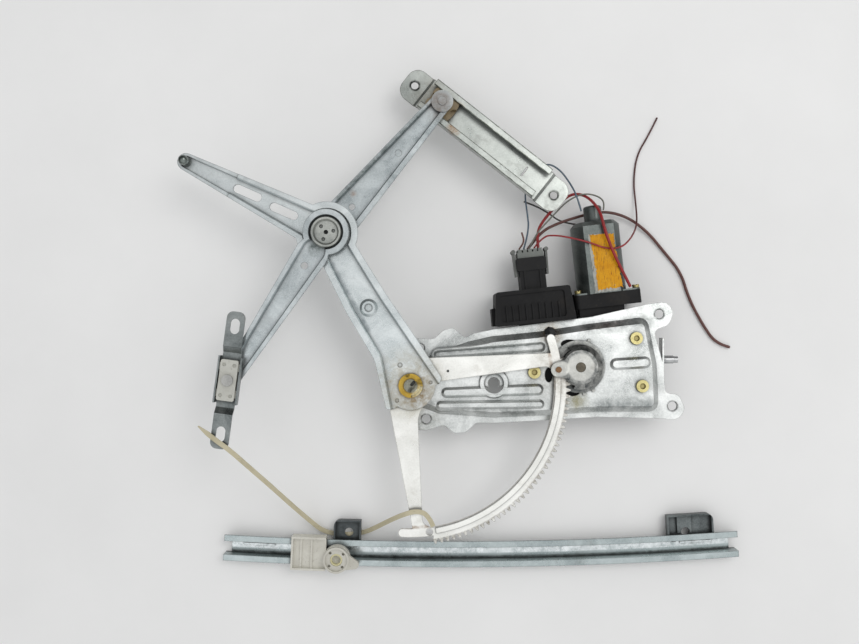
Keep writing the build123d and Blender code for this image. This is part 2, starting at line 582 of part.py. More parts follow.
def locating_peg():
    """Stepped peg riveted in the plate's turned-down edge."""
    outer = FLANGE_X + PLATE_GAUGE / 2
    steps = [
        (PEG_STEM, outer - PLATE_GAUGE - 0.8, outer),
        (4.2, outer, outer + 10.5),
        (3.5, outer + 10.5, outer + 15),
    ]
    pieces = []
    for radius, start, end in steps:
        stub = Cylinder(radius, end - start, align=(Align.CENTER, Align.CENTER, Align.MIN))
        pieces.append(Pos(start, *PEG_AT) * Rot(0, 90, 0) * stub)
    return joined(pieces)


def gearbox_screws():
    """Three screws with six-lobe heads through the plate into the gearbox bosses."""
    screws = []
    for point in SCREW_POINTS:
        head = rod(point, 6.2, FIELD_TOP, FIELD_TOP + 3.4)
        head -= rod(point, 3.0, FIELD_TOP + 1.4, FIELD_TOP + 9)
        screws.append(head + rod(point, 2.5, FIELD_TOP - 12, FIELD_TOP))
    return Compound(screws)


# ---- pinion and its cover ---------------------------------------------------------------------
PINION_LOW = SECTOR_LOW - 2.0
PINION_TOP = SECTOR_TOP + RIB_RISE + 1.3
COVER_FLOOR = FIELD_TOP
GUIDE_BUTTON = (RIM_INNER + RIM_OUTER) / 2


def pinion_cover():
    """Drawn cup over the pinion, open where the sector runs in, with a tab over its rim."""
    inner = COVER_RADIUS - COVER_GAUGE
    profile = Polyline(
        (OUTPUT_RADIUS + RUNNING, COVER_TOP), (17, COVER_TOP), (22.5, COVER_TOP - 4), (22.5, COVER_FLOOR + 2),
        (COVER_RADIUS, COVER_FLOOR + 1.5), (COVER_RADIUS, COVER_FLOOR), (inner - 4, COVER_FLOOR),
        (inner - 4, COVER_TOP - 4.8), (16.4, COVER_TOP - COVER_GAUGE),
        (OUTPUT_RADIUS + RUNNING, COVER_TOP - COVER_GAUGE), close=True)
    cup = revolve(Plane.XZ * make_face(profile), Axis.Z)
    mouth = Polygon([(0, 0), *[polar((0, 0), 60, a) for a in (118, 150, 186, 222, 254)]], align=None)
    cup -= slab(mouth, COVER_FLOOR + 1.5, COVER_TOP - COVER_GAUGE)
    cup -= slab(mouth - Circle(19.5), COVER_TOP - COVER_GAUGE - 5, COVER_TOP + 1)
    cup = Pos(*DRIVE) * cup
    tab = limb(DRIVE, polar(PIVOT, GUIDE_BUTTON, DRIVE_ANGLE), 12, 7.4) - disc(DRIVE, 12)
    cup += slab(tab, COVER_TOP - COVER_GAUGE, COVER_TOP)
    for turn in (-58, -78, 68):
        foot = along(DRIVE, turn) * Pos(COVER_RADIUS + 0.5, 0) * Rectangle(5, 3)
        cup += slab(foot, COVER_FLOOR, COVER_FLOOR + 1.5)
    return cup - rod(polar(PIVOT, GUIDE_BUTTON, DRIVE_ANGLE), 2.2, 0, 100)


def guide_button():
    """Riveted button in the cover's tab that keeps the sector's rim down on the pinion."""
    centre = polar(PIVOT, GUIDE_BUTTON, DRIVE_ANGLE)
    low = SECTOR_TOP + RIB_RISE + GAP
    pad = rod(centre, 4.0, low, COVER_TOP - COVER_GAUGE)
    return pad + rod(centre, 2.2, COVER_TOP - COVER_GAUGE, COVER_TOP + 0.2) + rod(
        centre, 3.0, COVER_TOP, COVER_TOP + 1.2)


OUTPUT_RADIUS = 5.0


def drive_pinion():
    """Pinion cut on the output shaft, in mesh with the sector."""
    points = []
    for n in range(PINION_TEETH):
        points += tooth_points(PINION_TEETH, PROFILE_SHIFT, 180 + DRIVE_ANGLE + 360 / PINION_TEETH * n)
    teeth = Pos(*DRIVE) * Polygon(points, align=None)
    pinion = slab(teeth, PINION_LOW, PINION_TOP)
    pinion += rod(DRIVE, OUTPUT_RADIUS, PINION_TOP, COVER_TOP - 0.4)
    return pinion + rod(DRIVE, OUTPUT_RADIUS, HOUSING_FLOOR + 2, PINION_LOW)


def worm_wheel():
    """Moulded wheel that the motor's worm turns, on the output shaft."""
    low, high = MOTOR_LEVEL - 7, MOTOR_LEVEL + 7
    profile = []
    for n in range(WHEEL_TEETH):
        for share, radius in ((-1, -1.3), (-0.45, 1.3), (0.45, 1.3), (1, -1.3)):
            turn = DRIVE_ANGLE + 360 / WHEEL_TEETH * (n + share * 0.48 * 0.5)
            profile.append(polar(DRIVE, WHEEL_RADIUS + radius, turn))
    wheel = slab(Polygon(profile, align=None), low, high)
    for top in (low - 1, high - 4):
        wheel -= slab(disc(DRIVE, WHEEL_RADIUS - 5) - disc(DRIVE, 11), top, top + 5)
    return wheel - rod(DRIVE, OUTPUT_RADIUS, 0, 100)


# ---- gearbox housing and motor -----------------------------------------------------------------
LUG_MIDDLE, LUG_LENGTH = 2.7, 68.5
MOTOR_SCREWS = (-26.4, 33.1)
MOTOR = Pos(*MOTOR_BASE, MOTOR_LEVEL) * Rot(0, 0, MOTOR_TURN) * Rot(-90, 0, 0)
MOTOR_FLAT = along(MOTOR_BASE, MOTOR_TURN)
HOUSING_TOP = FIELD_TOP - PLATE_GAUGE - 3.0
LID = 2.0


def gearbox_housing():
    """Moulded housing: round pot for the worm wheel, worm tunnel, motor flange, screw bosses."""
    pot = rod(DRIVE, HOUSING_RADIUS, HOUSING_FLOOR, HOUSING_TOP)
    tunnel = MOTOR * Pos(0, 0, -125) * Cylinder(WORM_RADIUS + 4.5, 120, align=(Align.CENTER, Align.CENTER, Align.MIN))
    flange_face = MOTOR_FLAT * Pos(LUG_MIDDLE, -7) * Rectangle(LUG_LENGTH, 14)
    flange = slab(flange_face, MOTOR_LEVEL - 17, MOTOR_LEVEL + 17)
    flange = fillet(flange.edges().filter_by(lambda e: abs(e.length - 14) < 0.01), 5)
    web = MOTOR_FLAT * Pos(-4, -26) * Rectangle(46, 26)
    bridge = slab(web, MOTOR_LEVEL - 12, MOTOR_LEVEL + 12)
    housing = joined([pot, tunnel, flange, bridge])
    for point in SCREW_POINTS:
        arm = limb(DRIVE, point, 12, 6.5)
        housing += slab(arm, HOUSING_TOP - 14, HOUSING_TOP - 3)
        housing += rod(point, 6.5, HOUSING_TOP - 14, FIELD_TOP - PLATE_GAUGE)
    housing += rod(DRIVE, COLLAR_RADIUS - 1, HOUSING_TOP, FIELD_TOP + 0.6)
    housing -= rod(DRIVE, WHEEL_RADIUS + 3, HOUSING_FLOOR - 1, MOTOR_LEVEL + 9)
    housing -= rod(DRIVE, OUTPUT_RADIUS + RUNNING, 0, 100)
    housing -= MOTOR * Pos(0, 0, -122) * Cylinder(WORM_RADIUS + 0.8, 123, align=(Align.CENTER, Align.CENTER, Align.MIN))
    for point in SCREW_POINTS:
        housing -= rod(point, 2.5, FIELD_TOP - 12.2, 100)
    for x in MOTOR_SCREWS:
        housing -= MOTOR * Pos(x, -11, 0) * Cylinder(2.0, 24.4)
    return housing


def gearbox_lid():
    """Round lid pressed in the open underside of the pot, with the output shaft's lower bearing."""
    lid = rod(DRIVE, WHEEL_RADIUS + 3, HOUSING_FLOOR, HOUSING_FLOOR + LID)
    lid += rod(DRIVE, 10, HOUSING_FLOOR + LID, HOUSING_FLOOR + LID + 4)
    return lid - rod(DRIVE, OUTPUT_RADIUS + RUNNING, HOUSING_FLOOR + LID - 0.2, 100)


def can_section(inset=0.0):
    """Round section with two flats, shrunk by an inset."""
    return Circle(CAN_RADIUS - inset) & Rectangle(3 * CAN_RADIUS, 2 * (CAN_FLAT - inset))


def cylinder(radius, start, end):
    """A round piece on the motor's own axis."""
    return Pos(0, 0, start) * Cylinder(radius, end - start, align=(Align.CENTER, Align.CENTER, Align.MIN))


def motor_can():
    """Drawn steel can with two flats and a bearing nose."""
    body = extrude(can_section(), amount=CAN_LENGTH)
    body = chamfer(body.faces().sort_by(Axis.Z)[-1].edges(), 4.5)
    nose = cylinder(NOSE_RADIUS, CAN_LENGTH, CAN_LENGTH + NOSE_LENGTH)
    nose = fillet(nose.faces().sort_by(Axis.Z)[-1].edges(), 2.5)
    lugs = extrude(Pos(LUG_MIDDLE, 0) * RectangleRounded(LUG_LENGTH, 34, 6), amount=1.6)
    can = joined([body, nose, lugs])
    for x in MOTOR_SCREWS:
        can -= Pos(x, -11, 0) * Cylinder(2.0, 20)
    can -= extrude(can_section(CAN_WALL), amount=CAN_LENGTH - 5)
    can -= cylinder(NOSE_RADIUS - CAN_WALL, CAN_LENGTH - 6, CAN_LENGTH + NOSE_LENGTH - CAN_WALL)
    return MOTOR * can


def magnets():
    """Two magnet shells against the can's round sides."""
    shell = (Circle(CAN_RADIUS - CAN_WALL) - Circle(CAN_RADIUS - CAN_WALL - 5)) & Rectangle(90, 30)
    left, right = shell.faces().sort_by(Axis.X)
    return MOTOR * Compound([extrude(Pos(0, 0, 16) * f, amount=44, dir=(0, 0, 1)) for f in (left, right)])


def armature_shaft():
    """Steel shaft through the armature, with the worm on its inner end."""
    shaft = cylinder(SHAFT_RADIUS, -118, CAN_LENGTH + NOSE_LENGTH - CAN_WALL - 1)
    worm = cylinder(WORM_CORE, -88, -54)
    return MOTOR * (shaft + worm)


CORE_LOW = 20.0
CORE_LENGTH = CAN_LENGTH - 38.0


def armature_core():
    """Laminated core with eight slots, pressed on the shaft."""
    core = Circle(16)
    for n in range(8):
        core -= Rot(0, 0, 45 * n) * Pos(12.5, 0) * Rectangle(8, 2.6)
    core -= Circle(SHAFT_RADIUS)
    return MOTOR * extrude(Pos(0, 0, CORE_LOW) * core, amount=CORE_LENGTH)


def armature_winding():
    """Enamelled copper winding ends, one ring at each end of the core."""
    ring = Circle(14) - Circle(SHAFT_RADIUS + 0.5)
    levels = (CORE_LOW - 5.5, CORE_LOW + CORE_LENGTH)
    ends = [extrude(Pos(0, 0, z) * ring, amount=5.5) for z in levels]
    return MOTOR * Compound(ends)


def commutator():
    """Segmented copper commutator on the shaft."""
    body = Circle(9) - Circle(SHAFT_RADIUS)
    for n in range(8):
        body -= Rot(0, 0, 45 * n) * Pos(9, 0) * Rectangle(3, 0.7)
    return MOTOR * extrude(Pos(0, 0, 2.5) * body, amount=11.5)


def motor_bearings():
    """Sintered bush in the can's nose and one at the mouth of the worm tunnel."""
    bush = Circle(NOSE_RADIUS - CAN_WALL) - Circle(SHAFT_RADIUS + RUNNING)
    near = Circle(WORM_RADIUS + 0.8) - Circle(SHAFT_RADIUS + RUNNING)
    end = CAN_LENGTH + 3
    return MOTOR * Compound([
        extrude(Pos(0, 0, end) * bush, amount=9),
        extrude(Pos(0, 0, -14) * near, amount=10),
        extrude(Pos(0, 0, -116) * near, amount=8),
    ])


def brush_card():
    """Brush holder plate at the mouth of the can, round the commutator."""
    card = can_section(CAN_WALL) - Circle(11)
    plate = extrude(Pos(0, 0, 0.2) * card, amount=2.5)
    for side in (-1, 1):
        holder = Pos(side * 14.5, 0, 5.2) * Box(9, 7, 5)
        brush = Pos(side * 9.8, 0, 5.2) * Box(1.2, 4.4, 3)
        plate = joined([plate, holder, brush])
    return MOTOR * plate


def motor_screws():
    """Two screws through the can's flange lugs into the gearbox flange."""
    screws = []
    for x in MOTOR_SCREWS:
        screw = cylinder(2.0, -12, 1.6) + cylinder(3.5, 1.6, 5.0)
        screws.append(MOTOR * Pos(x, -11, 0) * (screw - Pos(0, 0, 5) * Box(1.2, 9, 2.4)))
    return Compound(screws)


# ---- control module and its plug --------------------------------------------------------------
MODULE_FRAME = along((85.7, 92.9), 6.26)
MODULE_LOW, MODULE_HIGH = 12.0, 48.0
SOCKET_MIDDLE = 40.0


def control_module():
    """Moulded control box clipped under the plate's edge, ribbed on top."""
    body = outline([(0, 0, 3), (75.2, 0, 3), (78.6, -35, 2), (-3.6, -34.6, 3)])
    module = slab(body, MODULE_LOW, MODULE_HIGH)
    module += slab(outline([(-5.4, -16, 0.8), (1, -15, 0), (1, -34, 0), (-5.8, -34, 0.8)]), MODULE_LOW + 6, 36)
    module -= slab(Pos(36, -17.5) * RectangleRounded(66, 27, 3), MODULE_HIGH - 2.2, MODULE_HIGH + 1)
    for n in range(9):
        module += slab(Pos(9 + 6.7 * n, -23) * Rectangle(1.6, 16), MODULE_HIGH - 2.2, MODULE_HIGH - 0.6)
    module -= slab(Pos(37, -17) * RectangleRounded(68, 26, 2), MODULE_LOW - 1, MODULE_LOW + 1.2)
    tongue = slab(Pos(36, -40) * RectangleRounded(30, 15, 2), PLATE_LOW - 4, PLATE_LOW)
    return MODULE_FRAME * (module + tongue)


def connector_socket():
    """Shrouded socket on the side of the control box."""
    low, high = 19.0, 41.0
    shell = slab(Pos(SOCKET_MIDDLE, 9.5) * Rectangle(26, 19), low, high)
    mouth = Pos(SOCKET_MIDDLE, 12) * Rectangle(22, 19)
    shell -= slab(mouth, low + 2, high - 2)
    for side in (-1, 1):
        shell += slab(Pos(SOCKET_MIDDLE + side * 8, 9.5) * Rectangle(2, 19), high, high + 1.2)
    return MODULE_FRAME * shell


def connector_plug():
    """Wire plug: its tongue sits in the socket and its body stands out behind."""
    tongue = slab(Pos(SOCKET_MIDDLE, 12.2) * Rectangle(21.4, 13.6), 21.4, 38.6)
    body = slab(Pos(SOCKET_MIDDLE, 25.6) * Rectangle(30, 13.2), 17.0, 42.5)
    body = fillet(body.edges().filter_by(Axis.Z), 1.5)
    return MODULE_FRAME * (tongue + body)


def connector_seal():
    """Rubber wire seal in the back of the plug, with a row of wire mouths."""
    low, high = 19.0, 40.5
    seal = slab(Pos(SOCKET_MIDDLE, 35.0) * Rectangle(26.5, 5.6), low, high)
    for n in range(5):
        seal += slab(Pos(SOCKET_MIDDLE - 10.4 + 5.2 * n, 39.4) * Rectangle(3.6, 3.2), low + 2, high)
    return MODULE_FRAME * seal


def connector_levers():
    """Two latch levers along the sides of the plug."""
    levers = []
    for side in (-1, 1):
        arm = Pos(SOCKET_MIDDLE + side * 16.4, 27) * Rot(0, 0, -side * 2) * Rectangle(2.2, 26)
        knob = Pos(SOCKET_MIDDLE + side * 16.9, 39.5) * Circle(2.2)
        lever = slab(arm, 27, 37) + slab(knob, 27, 38)
        levers.append(MODULE_FRAME * lever)
    return Compound(levers)


# ---- lift rail ----------------------------------------------------------------------------------
RAIL_AXIS_AT = polar(RAIL_MIDDLE, RAIL_CURVE, 90 + RAIL_TILT)
RAIL_AXIS = Axis((*RAIL_AXIS_AT, 0), (0, 0, 1))
WALL_OUT = RAIL_WIDTH / 2 - RAIL_FLANGE
SLIDER_LENGTH = 36.0
SLIDER_TOP = 22.0
SOCKET_AT = (-78.3, -184.3)
BRACKET_FLOOR = 5.0
BRACKET_REACH = 34.0
BRACKET_HOLE = 4.5
LEFT_HOLE, RIGHT_HOLE = (-66.5, -159.5), (289.5, -158.0)
RIVET_RADIUS = 1.5
RIVET_STATIONS = (-150, -133, 204, 241)


def on_rail(profile, start, end):
    """A profile of (across, height) points bent along the rail, between two distances."""
    turns = [degrees(station / RAIL_CURVE) + RAIL_TILT for station in (start, end)]
    face = make_face(Polyline(*[(RAIL_CURVE - across, height) for across, height in profile], close=True))
    face = Pos(*RAIL_AXIS_AT) * Rot(0, 0, turns[0] - 90) * Rot(90, 0, 0) * face
    return revolve(face, RAIL_AXIS, turns[1] - turns[0])


def box_profile(inner, outer, low, high):
    return [(inner, low), (outer, low), (outer, high), (inner, high)]


def lift_rail():
    """Rolled channel with out-turned flanges along its top, gently bowed."""
    half = RAIL_LENGTH / 2
    edge = RAIL_WIDTH / 2
    inside = WALL_OUT - RAIL_GAUGE
    lip = RAIL_DEPTH - RAIL_GAUGE
    profile = [
        (-edge, lip), (-WALL_OUT, lip), (-WALL_OUT, 0), (WALL_OUT, 0), (WALL_OUT, lip), (edge, lip),
        (edge, RAIL_DEPTH), (inside, RAIL_DEPTH), (inside, RAIL_GAUGE), (-inside, RAIL_GAUGE),
        (-inside, RAIL_DEPTH), (-edge, RAIL_DEPTH),
    ]
    rail = on_rail(profile, -half, half)
    notch = box_profile(-inside, inside, -1, RAIL_DEPTH + 1)
    for sign in (-1, 1):
        rail -= on_rail(notch, sign * half - 6, sign * half + 6)
    rail += on_rail(box_profile(1.5, 3.5, RAIL_GAUGE, RAIL_GAUGE + 1.2), half - 58, half - 24)
    rail += on_rail(box_profile(1.5, 3.5, RAIL_GAUGE, RAIL_GAUGE + 1.2), 18 - half, 52 - half)
    for place in rivet_places():
        rail -= place * Cylinder(RIVET_RADIUS, 9)
    return rail


def rivet_places():
    """Places of the rivets through the rail's wall, x axis across the rail."""
    places = []
    for station in RIVET_STATIONS:
        turn = degrees(station / RAIL_CURVE) + RAIL_TILT - 90
        at = polar(RAIL_AXIS_AT, RAIL_CURVE - WALL_OUT, turn)
        places.append(Pos(*at, BRACKET_FLOOR + 4.45) * Rot(0, 0, turn) * Rot(0, 90, 0))
    return places


def rail_bracket(start, end, hole):
    """Pressed cup bracket against the rail's side, under its flange, with one hole."""
    lip = RAIL_DEPTH - RAIL_GAUGE
    gauge = 1.8
    outer = on_rail(box_profile(WALL_OUT, BRACKET_REACH, BRACKET_FLOOR, lip), start, end)
    outer = fillet(outer.edges().filter_by(Axis.Z).group_by(Axis.Y)[-1], 7.0)
    inside = box_profile(WALL_OUT + gauge, BRACKET_REACH - gauge, BRACKET_FLOOR + gauge, lip + 3)
    bracket = outer - on_rail(inside, start + gauge, end - gauge) - rod(hole, BRACKET_HOLE, -1, 30)
    for place in rivet_places():
        bracket -= place * Cylinder(RIVET_RADIUS, 9)
    return bracket


def left_bracket():
    """Bracket near the slider."""
    return rail_bracket(-156, -127, LEFT_HOLE)


def right_bracket():
    """Bracket at the far end, with a saddle across the middle of its cup."""
    saddle = on_rail(box_profile(WALL_OUT + 6, 33, BRACKET_FLOOR + 1, 10), 209, 224)
    return rail_bracket(198, 247, RIGHT_HOLE) + (saddle - rod(RIGHT_HOLE, BRACKET_HOLE, -1, 30))


def bracket_rivets():
    """Two rivets through each bracket's back wall and the wall of the rail."""
    rivets = []
    for place in rivet_places():
        shank = Cylinder(RIVET_RADIUS, RAIL_GAUGE + 1.8)
        heads = [Pos(0, 0, side * 2.25) * Cylinder(2.5, 1.2) for side in (-1, 1)]
        rivets.append(place * Pos(0, 0, -0.15) * joined([shank, *heads]))
    return Compound(rivets)


def rail_slider():
    """Plastic slider that hooks under both flanges; a boss at one end carries the socket."""
    over = RAIL_DEPTH + GAP / 2
    lip = RAIL_DEPTH - RAIL_GAUGE - GAP / 2
    half = RAIL_WIDTH / 2 + GAP / 2
    wide = half + 3.6
    profile = [
        (-wide, 9.0), (-half + 3, 9.0), (-half + 3, lip), (-half, lip), (-half, over), (half, over),
        (half, lip), (half - 3, lip), (half - 3, 9.0), (wide, 9.0), (wide, 18.0), (-wide, 18.0),
    ]
    start = -198.8
    slider = on_rail(profile, start, start + SLIDER_LENGTH)
    rib = box_profile(-wide, -wide + 2, 18, SLIDER_TOP)
    far_rib = box_profile(wide - 2, wide, 18, SLIDER_TOP)
    pads = [
        on_rail(rib, start, start + SLIDER_LENGTH), on_rail(far_rib, start, start + SLIDER_LENGTH),
        on_rail(box_profile(-wide, wide, 18, SLIDER_TOP), start, start + 2),
        on_rail(box_profile(-wide, wide, 18, 19.5), start + 9, start + 11),
        on_rail(box_profile(-wide, wide, 18, 19.5), start + 20, start + 22),
    ]
    boss = rod(SOCKET_AT, 14, over, 20)
    slider = joined([slider, *pads, boss])
    return slider - Pos(*SOCKET_AT, 21) * Sphere(BALL_RADIUS)


def socket_lever():
    """Turning catch over the ball socket."""
    ring = Circle(13.5)
    handle = limb((0, 0), (19, -5), 11.5, 4.5)
    lever = slab(Pos(*SOCKET_AT) * (ring + handle), 20 + GAP / 2, 24)
    lever += slab(Pos(*SOCKET_AT) * (Circle(13.5) - Circle(11.5)), 24, 26)
    lever -= rod(SOCKET_AT, 6.4, 0, 100)
    for n in range(4):
        lever -= rod(polar(SOCKET_AT, 9.6, 40 + 90 * n), 1.5, 0, 100)
    return lever


def socket_ring():
    """Snap ring that grips the ball, in the slider's boss under the catch."""
    ring = Circle(6.2) - Circle(4.7)
    return slab(Pos(*SOCKET_AT) * ring, 20, 23.5)


# ---- wires and tie --------------------------------------------------------------------------------
WIRES = {                  # radius, then the corners of its route
    "wire_red": (1.5, [
        (131.3, 139.8, 28), (129.5, 156, 25), (139.5, 172, 20.5), (152, 185.5, 19),
        (162.5, 194.5, 17), (171.5, 198, 16.5), (181.5, 195.5, 19.5), (188, 185.5, 34),
        (192, 173.5, 46.5),
        (196.5, 153, 49), (203.5, 135, 49), (213.5, 116, 46), (223.5, 99.5, 40),
    ]),
    "wire_brown": (1.5, [
        (121, 139, 24), (134, 157, 17), (153.5, 167, 15), (174.5, 174, 12),
        (190.5, 178.5, 10), (209.5, 180, 9), (231.5, 173.5, 6), (252.5, 158, 3),
        (269, 138, 2), (287, 116.5, 2), (295.5, 88, 2), (310.5, 60, 2),
        (324.5, 40, 2), (339, 36.5, 2),
    ]),
    "wire_thin_red": (0.9, [
        (126.1, 139.2, 33), (135, 151.5, 36), (148, 151.5, 42), (162, 148.5, 46.2),
        (181, 144, 45.5), (197.5, 137.5, 45.5), (213, 138.5, 44), (226.5, 149, 30),
        (238, 165.5, 12), (238.5, 188, 4), (236.5, 213, 1), (240, 241.5, 1),
        (253, 263, 1), (262, 281.5, 1),
    ]),
    "wire_grey": (0.8, [
        (121, 138.7, 36), (127.5, 153, 38), (138.5, 165, 34), (150.5, 177.5, 27),
        (163, 190, 25), (179, 197, 25), (193, 194.5, 25), (201, 188, 25),
        (199, 179.5, 26),
    ]),
    "wire_blue": (0.9, [
        (115.8, 138, 30), (122, 157.5, 28), (120.5, 178, 22), (118, 199.5, 18),
        (126, 220.5, 18), (142, 230, 18), (155, 223, 19), (165.5, 208, 21.5),
        (171.5, 193, 28.5), (176, 178, 27),
    ]),
    "wire_black": (0.9, [
        (118.5, 190.5, 10), (131.5, 186, 10), (145, 178, 10), (155, 171, 8.5),
        (164.5, 168, 8.5), (174.3, 166, 11.5),
    ]),
    "wire_stub": (0.9, [(110.6, 137.6, 34), (116, 146, 36), (113, 155, 37)]),
    "cable_tie": (1.5, [
        (-205.5, -37.5, 80), (-190, -50, 80.5), (-174.5, -61, 80.5), (-160, -77.5, 71),
        (-141.5, -101.5, 50), (-123, -126, 30), (-108, -145.5, 12), (-94.5, -160, 2.5),
        (-73.5, -164, 2), (-50, -161, 2.5), (-36, -151.5, 16), (-22.5, -139.5, 39),
        (-9, -129, 58.8), (6, -124, 60.8), (17.5, -128, 60.8), (22.5, -140, 60),
    ]),
}
BEND_SHARE = 0.45          # how much of the shorter run each bend takes up


def route(points):
    """Straight runs through the points with a tangent arc at each corner; lists its radii."""
    corners = [Vector(*point) for point in points]
    edges, radii = [], []
    start = corners[0]
    for before, corner, after in zip(corners, corners[1:], corners[2:]):
        back, ahead = before - corner, after - corner
        share = BEND_SHARE * min(back.length, ahead.length)
        half = radians(back.get_angle(ahead)) / 2
        radius = share * tan(half)
        inward = (back.normalized() + ahead.normalized()).normalized()
        middle = corner + inward * (radius / sin(half) - radius)
        into, out = corner + back.normalized() * share, corner + ahead.normalized() * share
        edges += [Line(start, into), ThreePointArc(into, middle, out)]
        radii.append(round(radius))
        start = out
    edges.append(Line(start, corners[-1]))
    return Wire(edges), radii


def cord(name):
    """One wire or the tie as a plain round tube along its route."""
    radius, points = WIRES[name]
    path, radii = route(points)
    print(name, "radius", radius, "bends", radii)
    return sweep(Plane(origin=path @ 0, z_dir=path % 0) * Circle(radius), path=path)


# ---- every piece, by name ---------------------------------------------------------------------------
PIECES = {
    "mounting_plate": mounting_plate, "locating_peg": locating_peg,
    "pivot_stud": pivot_stud, "pivot_ring": pivot_ring,
    "gearbox_housing": gearbox_housing, "gearbox_lid": gearbox_lid, "gearbox_screws": gearbox_screws,
    "pinion_cover": pinion_cover, "guide_button": guide_button,
    "motor_can": motor_can, "motor_screws": motor_screws, "motor_magnets": magnets,
    "motor_bearings": motor_bearings, "brush_card": brush_card,
    "armature_shaft": armature_shaft, "armature_core": armature_core,
    "armature_winding": armature_winding, "commutator": commutator,
    "control_module": control_module, "connector_socket": connector_socket,
    "connector_plug": connector_plug, "connector_seal": connector_seal,
    "connector_levers": connector_levers,
    "drive_pinion": drive_pinion, "worm_wheel": worm_wheel,
    "sector_gear": sector_gear, "drive_arm": drive_arm, "ball_stud": ball_stud,
    "cross_arm_upper": cross_arm_upper, "cross_arm_lower": cross_arm_lower,
    "hub_rivet": hub_rivet, "guide_pin": guide_pin, "bracket_pin": bracket_pin,
    "guide_roller": guide_roller, "guide_rail": guide_rail,
    "slide_block": slide_block, "glass_bracket": glass_bracket,
    "lift_rail": lift_rail, "left_bracket": left_bracket, "right_bracket": right_bracket,
    "bracket_rivets": bracket_rivets, "rail_slider": rail_slider,
    "socket_lever": socket_lever, "socket_ring": socket_ring,
}


def export_all():
    """Writes one STEP file for each piece, moved to the row's own origin."""
    shapes = {name: make() for name, make in PIECES.items()}
    shapes.update({name: cord(name) for name in WIRES})
    for name, shape in shapes.items():
        export_step(Pos(PIVOT_X, PIVOT_Y, 0) * shape, f"parts/{name}.step")


export_all()
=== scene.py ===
import bpy
import bmesh
import math
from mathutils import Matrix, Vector, noise


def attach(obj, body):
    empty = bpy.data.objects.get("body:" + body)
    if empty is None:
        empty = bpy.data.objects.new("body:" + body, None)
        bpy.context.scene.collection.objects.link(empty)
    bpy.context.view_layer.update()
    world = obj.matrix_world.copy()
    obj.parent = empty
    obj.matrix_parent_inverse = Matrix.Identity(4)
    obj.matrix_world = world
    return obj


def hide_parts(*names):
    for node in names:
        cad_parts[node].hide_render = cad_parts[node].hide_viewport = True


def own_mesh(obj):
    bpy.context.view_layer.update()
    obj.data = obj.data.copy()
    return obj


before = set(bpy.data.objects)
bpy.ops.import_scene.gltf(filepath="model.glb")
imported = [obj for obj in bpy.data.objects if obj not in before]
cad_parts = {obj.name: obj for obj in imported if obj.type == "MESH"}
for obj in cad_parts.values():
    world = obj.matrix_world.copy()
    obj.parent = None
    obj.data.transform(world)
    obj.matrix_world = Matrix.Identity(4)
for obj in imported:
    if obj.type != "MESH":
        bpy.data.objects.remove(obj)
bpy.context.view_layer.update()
SHIFT = Vector((-56.5, -62.2, 0.0))          # millimetres: part's drawing frame to the row's frame


def place(x, y, z):
    """Drawing millimetres to the row's metres."""
    return (Vector((x, y, z)) + SHIFT) / 1000


def added(name, data):
    """A new object, linked to the scene."""
    piece = bpy.data.objects.new(name, data)
    bpy.context.collection.objects.link(piece)
    return piece


# ---- camera --------------------------------------------------------------------------------------
SENSOR_WIDTH = 36                            # millimetres
LENS = 33.3
CAMERA_PLACE = (-0.0377, 0.0011, 0.850)      # metres; not turned, it looks straight down
camera_data = bpy.data.cameras.new("camera")
camera_data.sensor_width = SENSOR_WIDTH
camera_data.lens = LENS
camera = added("camera", camera_data)
camera.location = CAMERA_PLACE
bpy.context.scene.camera = camera


# ---- material kit --------------------------------------------------------------------------------
OCCLUSION_SAMPLES = 8
SPANGLE = 70.0                               # noise scale of plated metal
SCRATCH_LIFT = 34                            # of 255, how much lighter than the metal a scratch is
OUTLINE_SHADE_REACH = 0.0012                           # metres in from an outer edge that the painted dark outline reaches
OUTLINE_SHADE_COLOUR = (60, 60, 54)
OILY_ROUGHNESS = 0.28
DIRT_DULLING = 0.7                           # how much of a metal's shine full dirt takes away
WIRE_DIRT = (46, 38, 32)


def lin(r, g, b):
    """8-bit sRGB to linear colour with alpha."""
    def one(v):
        v /= 255
        return v / 12.92 if v <= 0.04045 else ((v + 0.055) / 1.055) ** 2.4
    return (one(r), one(g), one(b), 1.0)


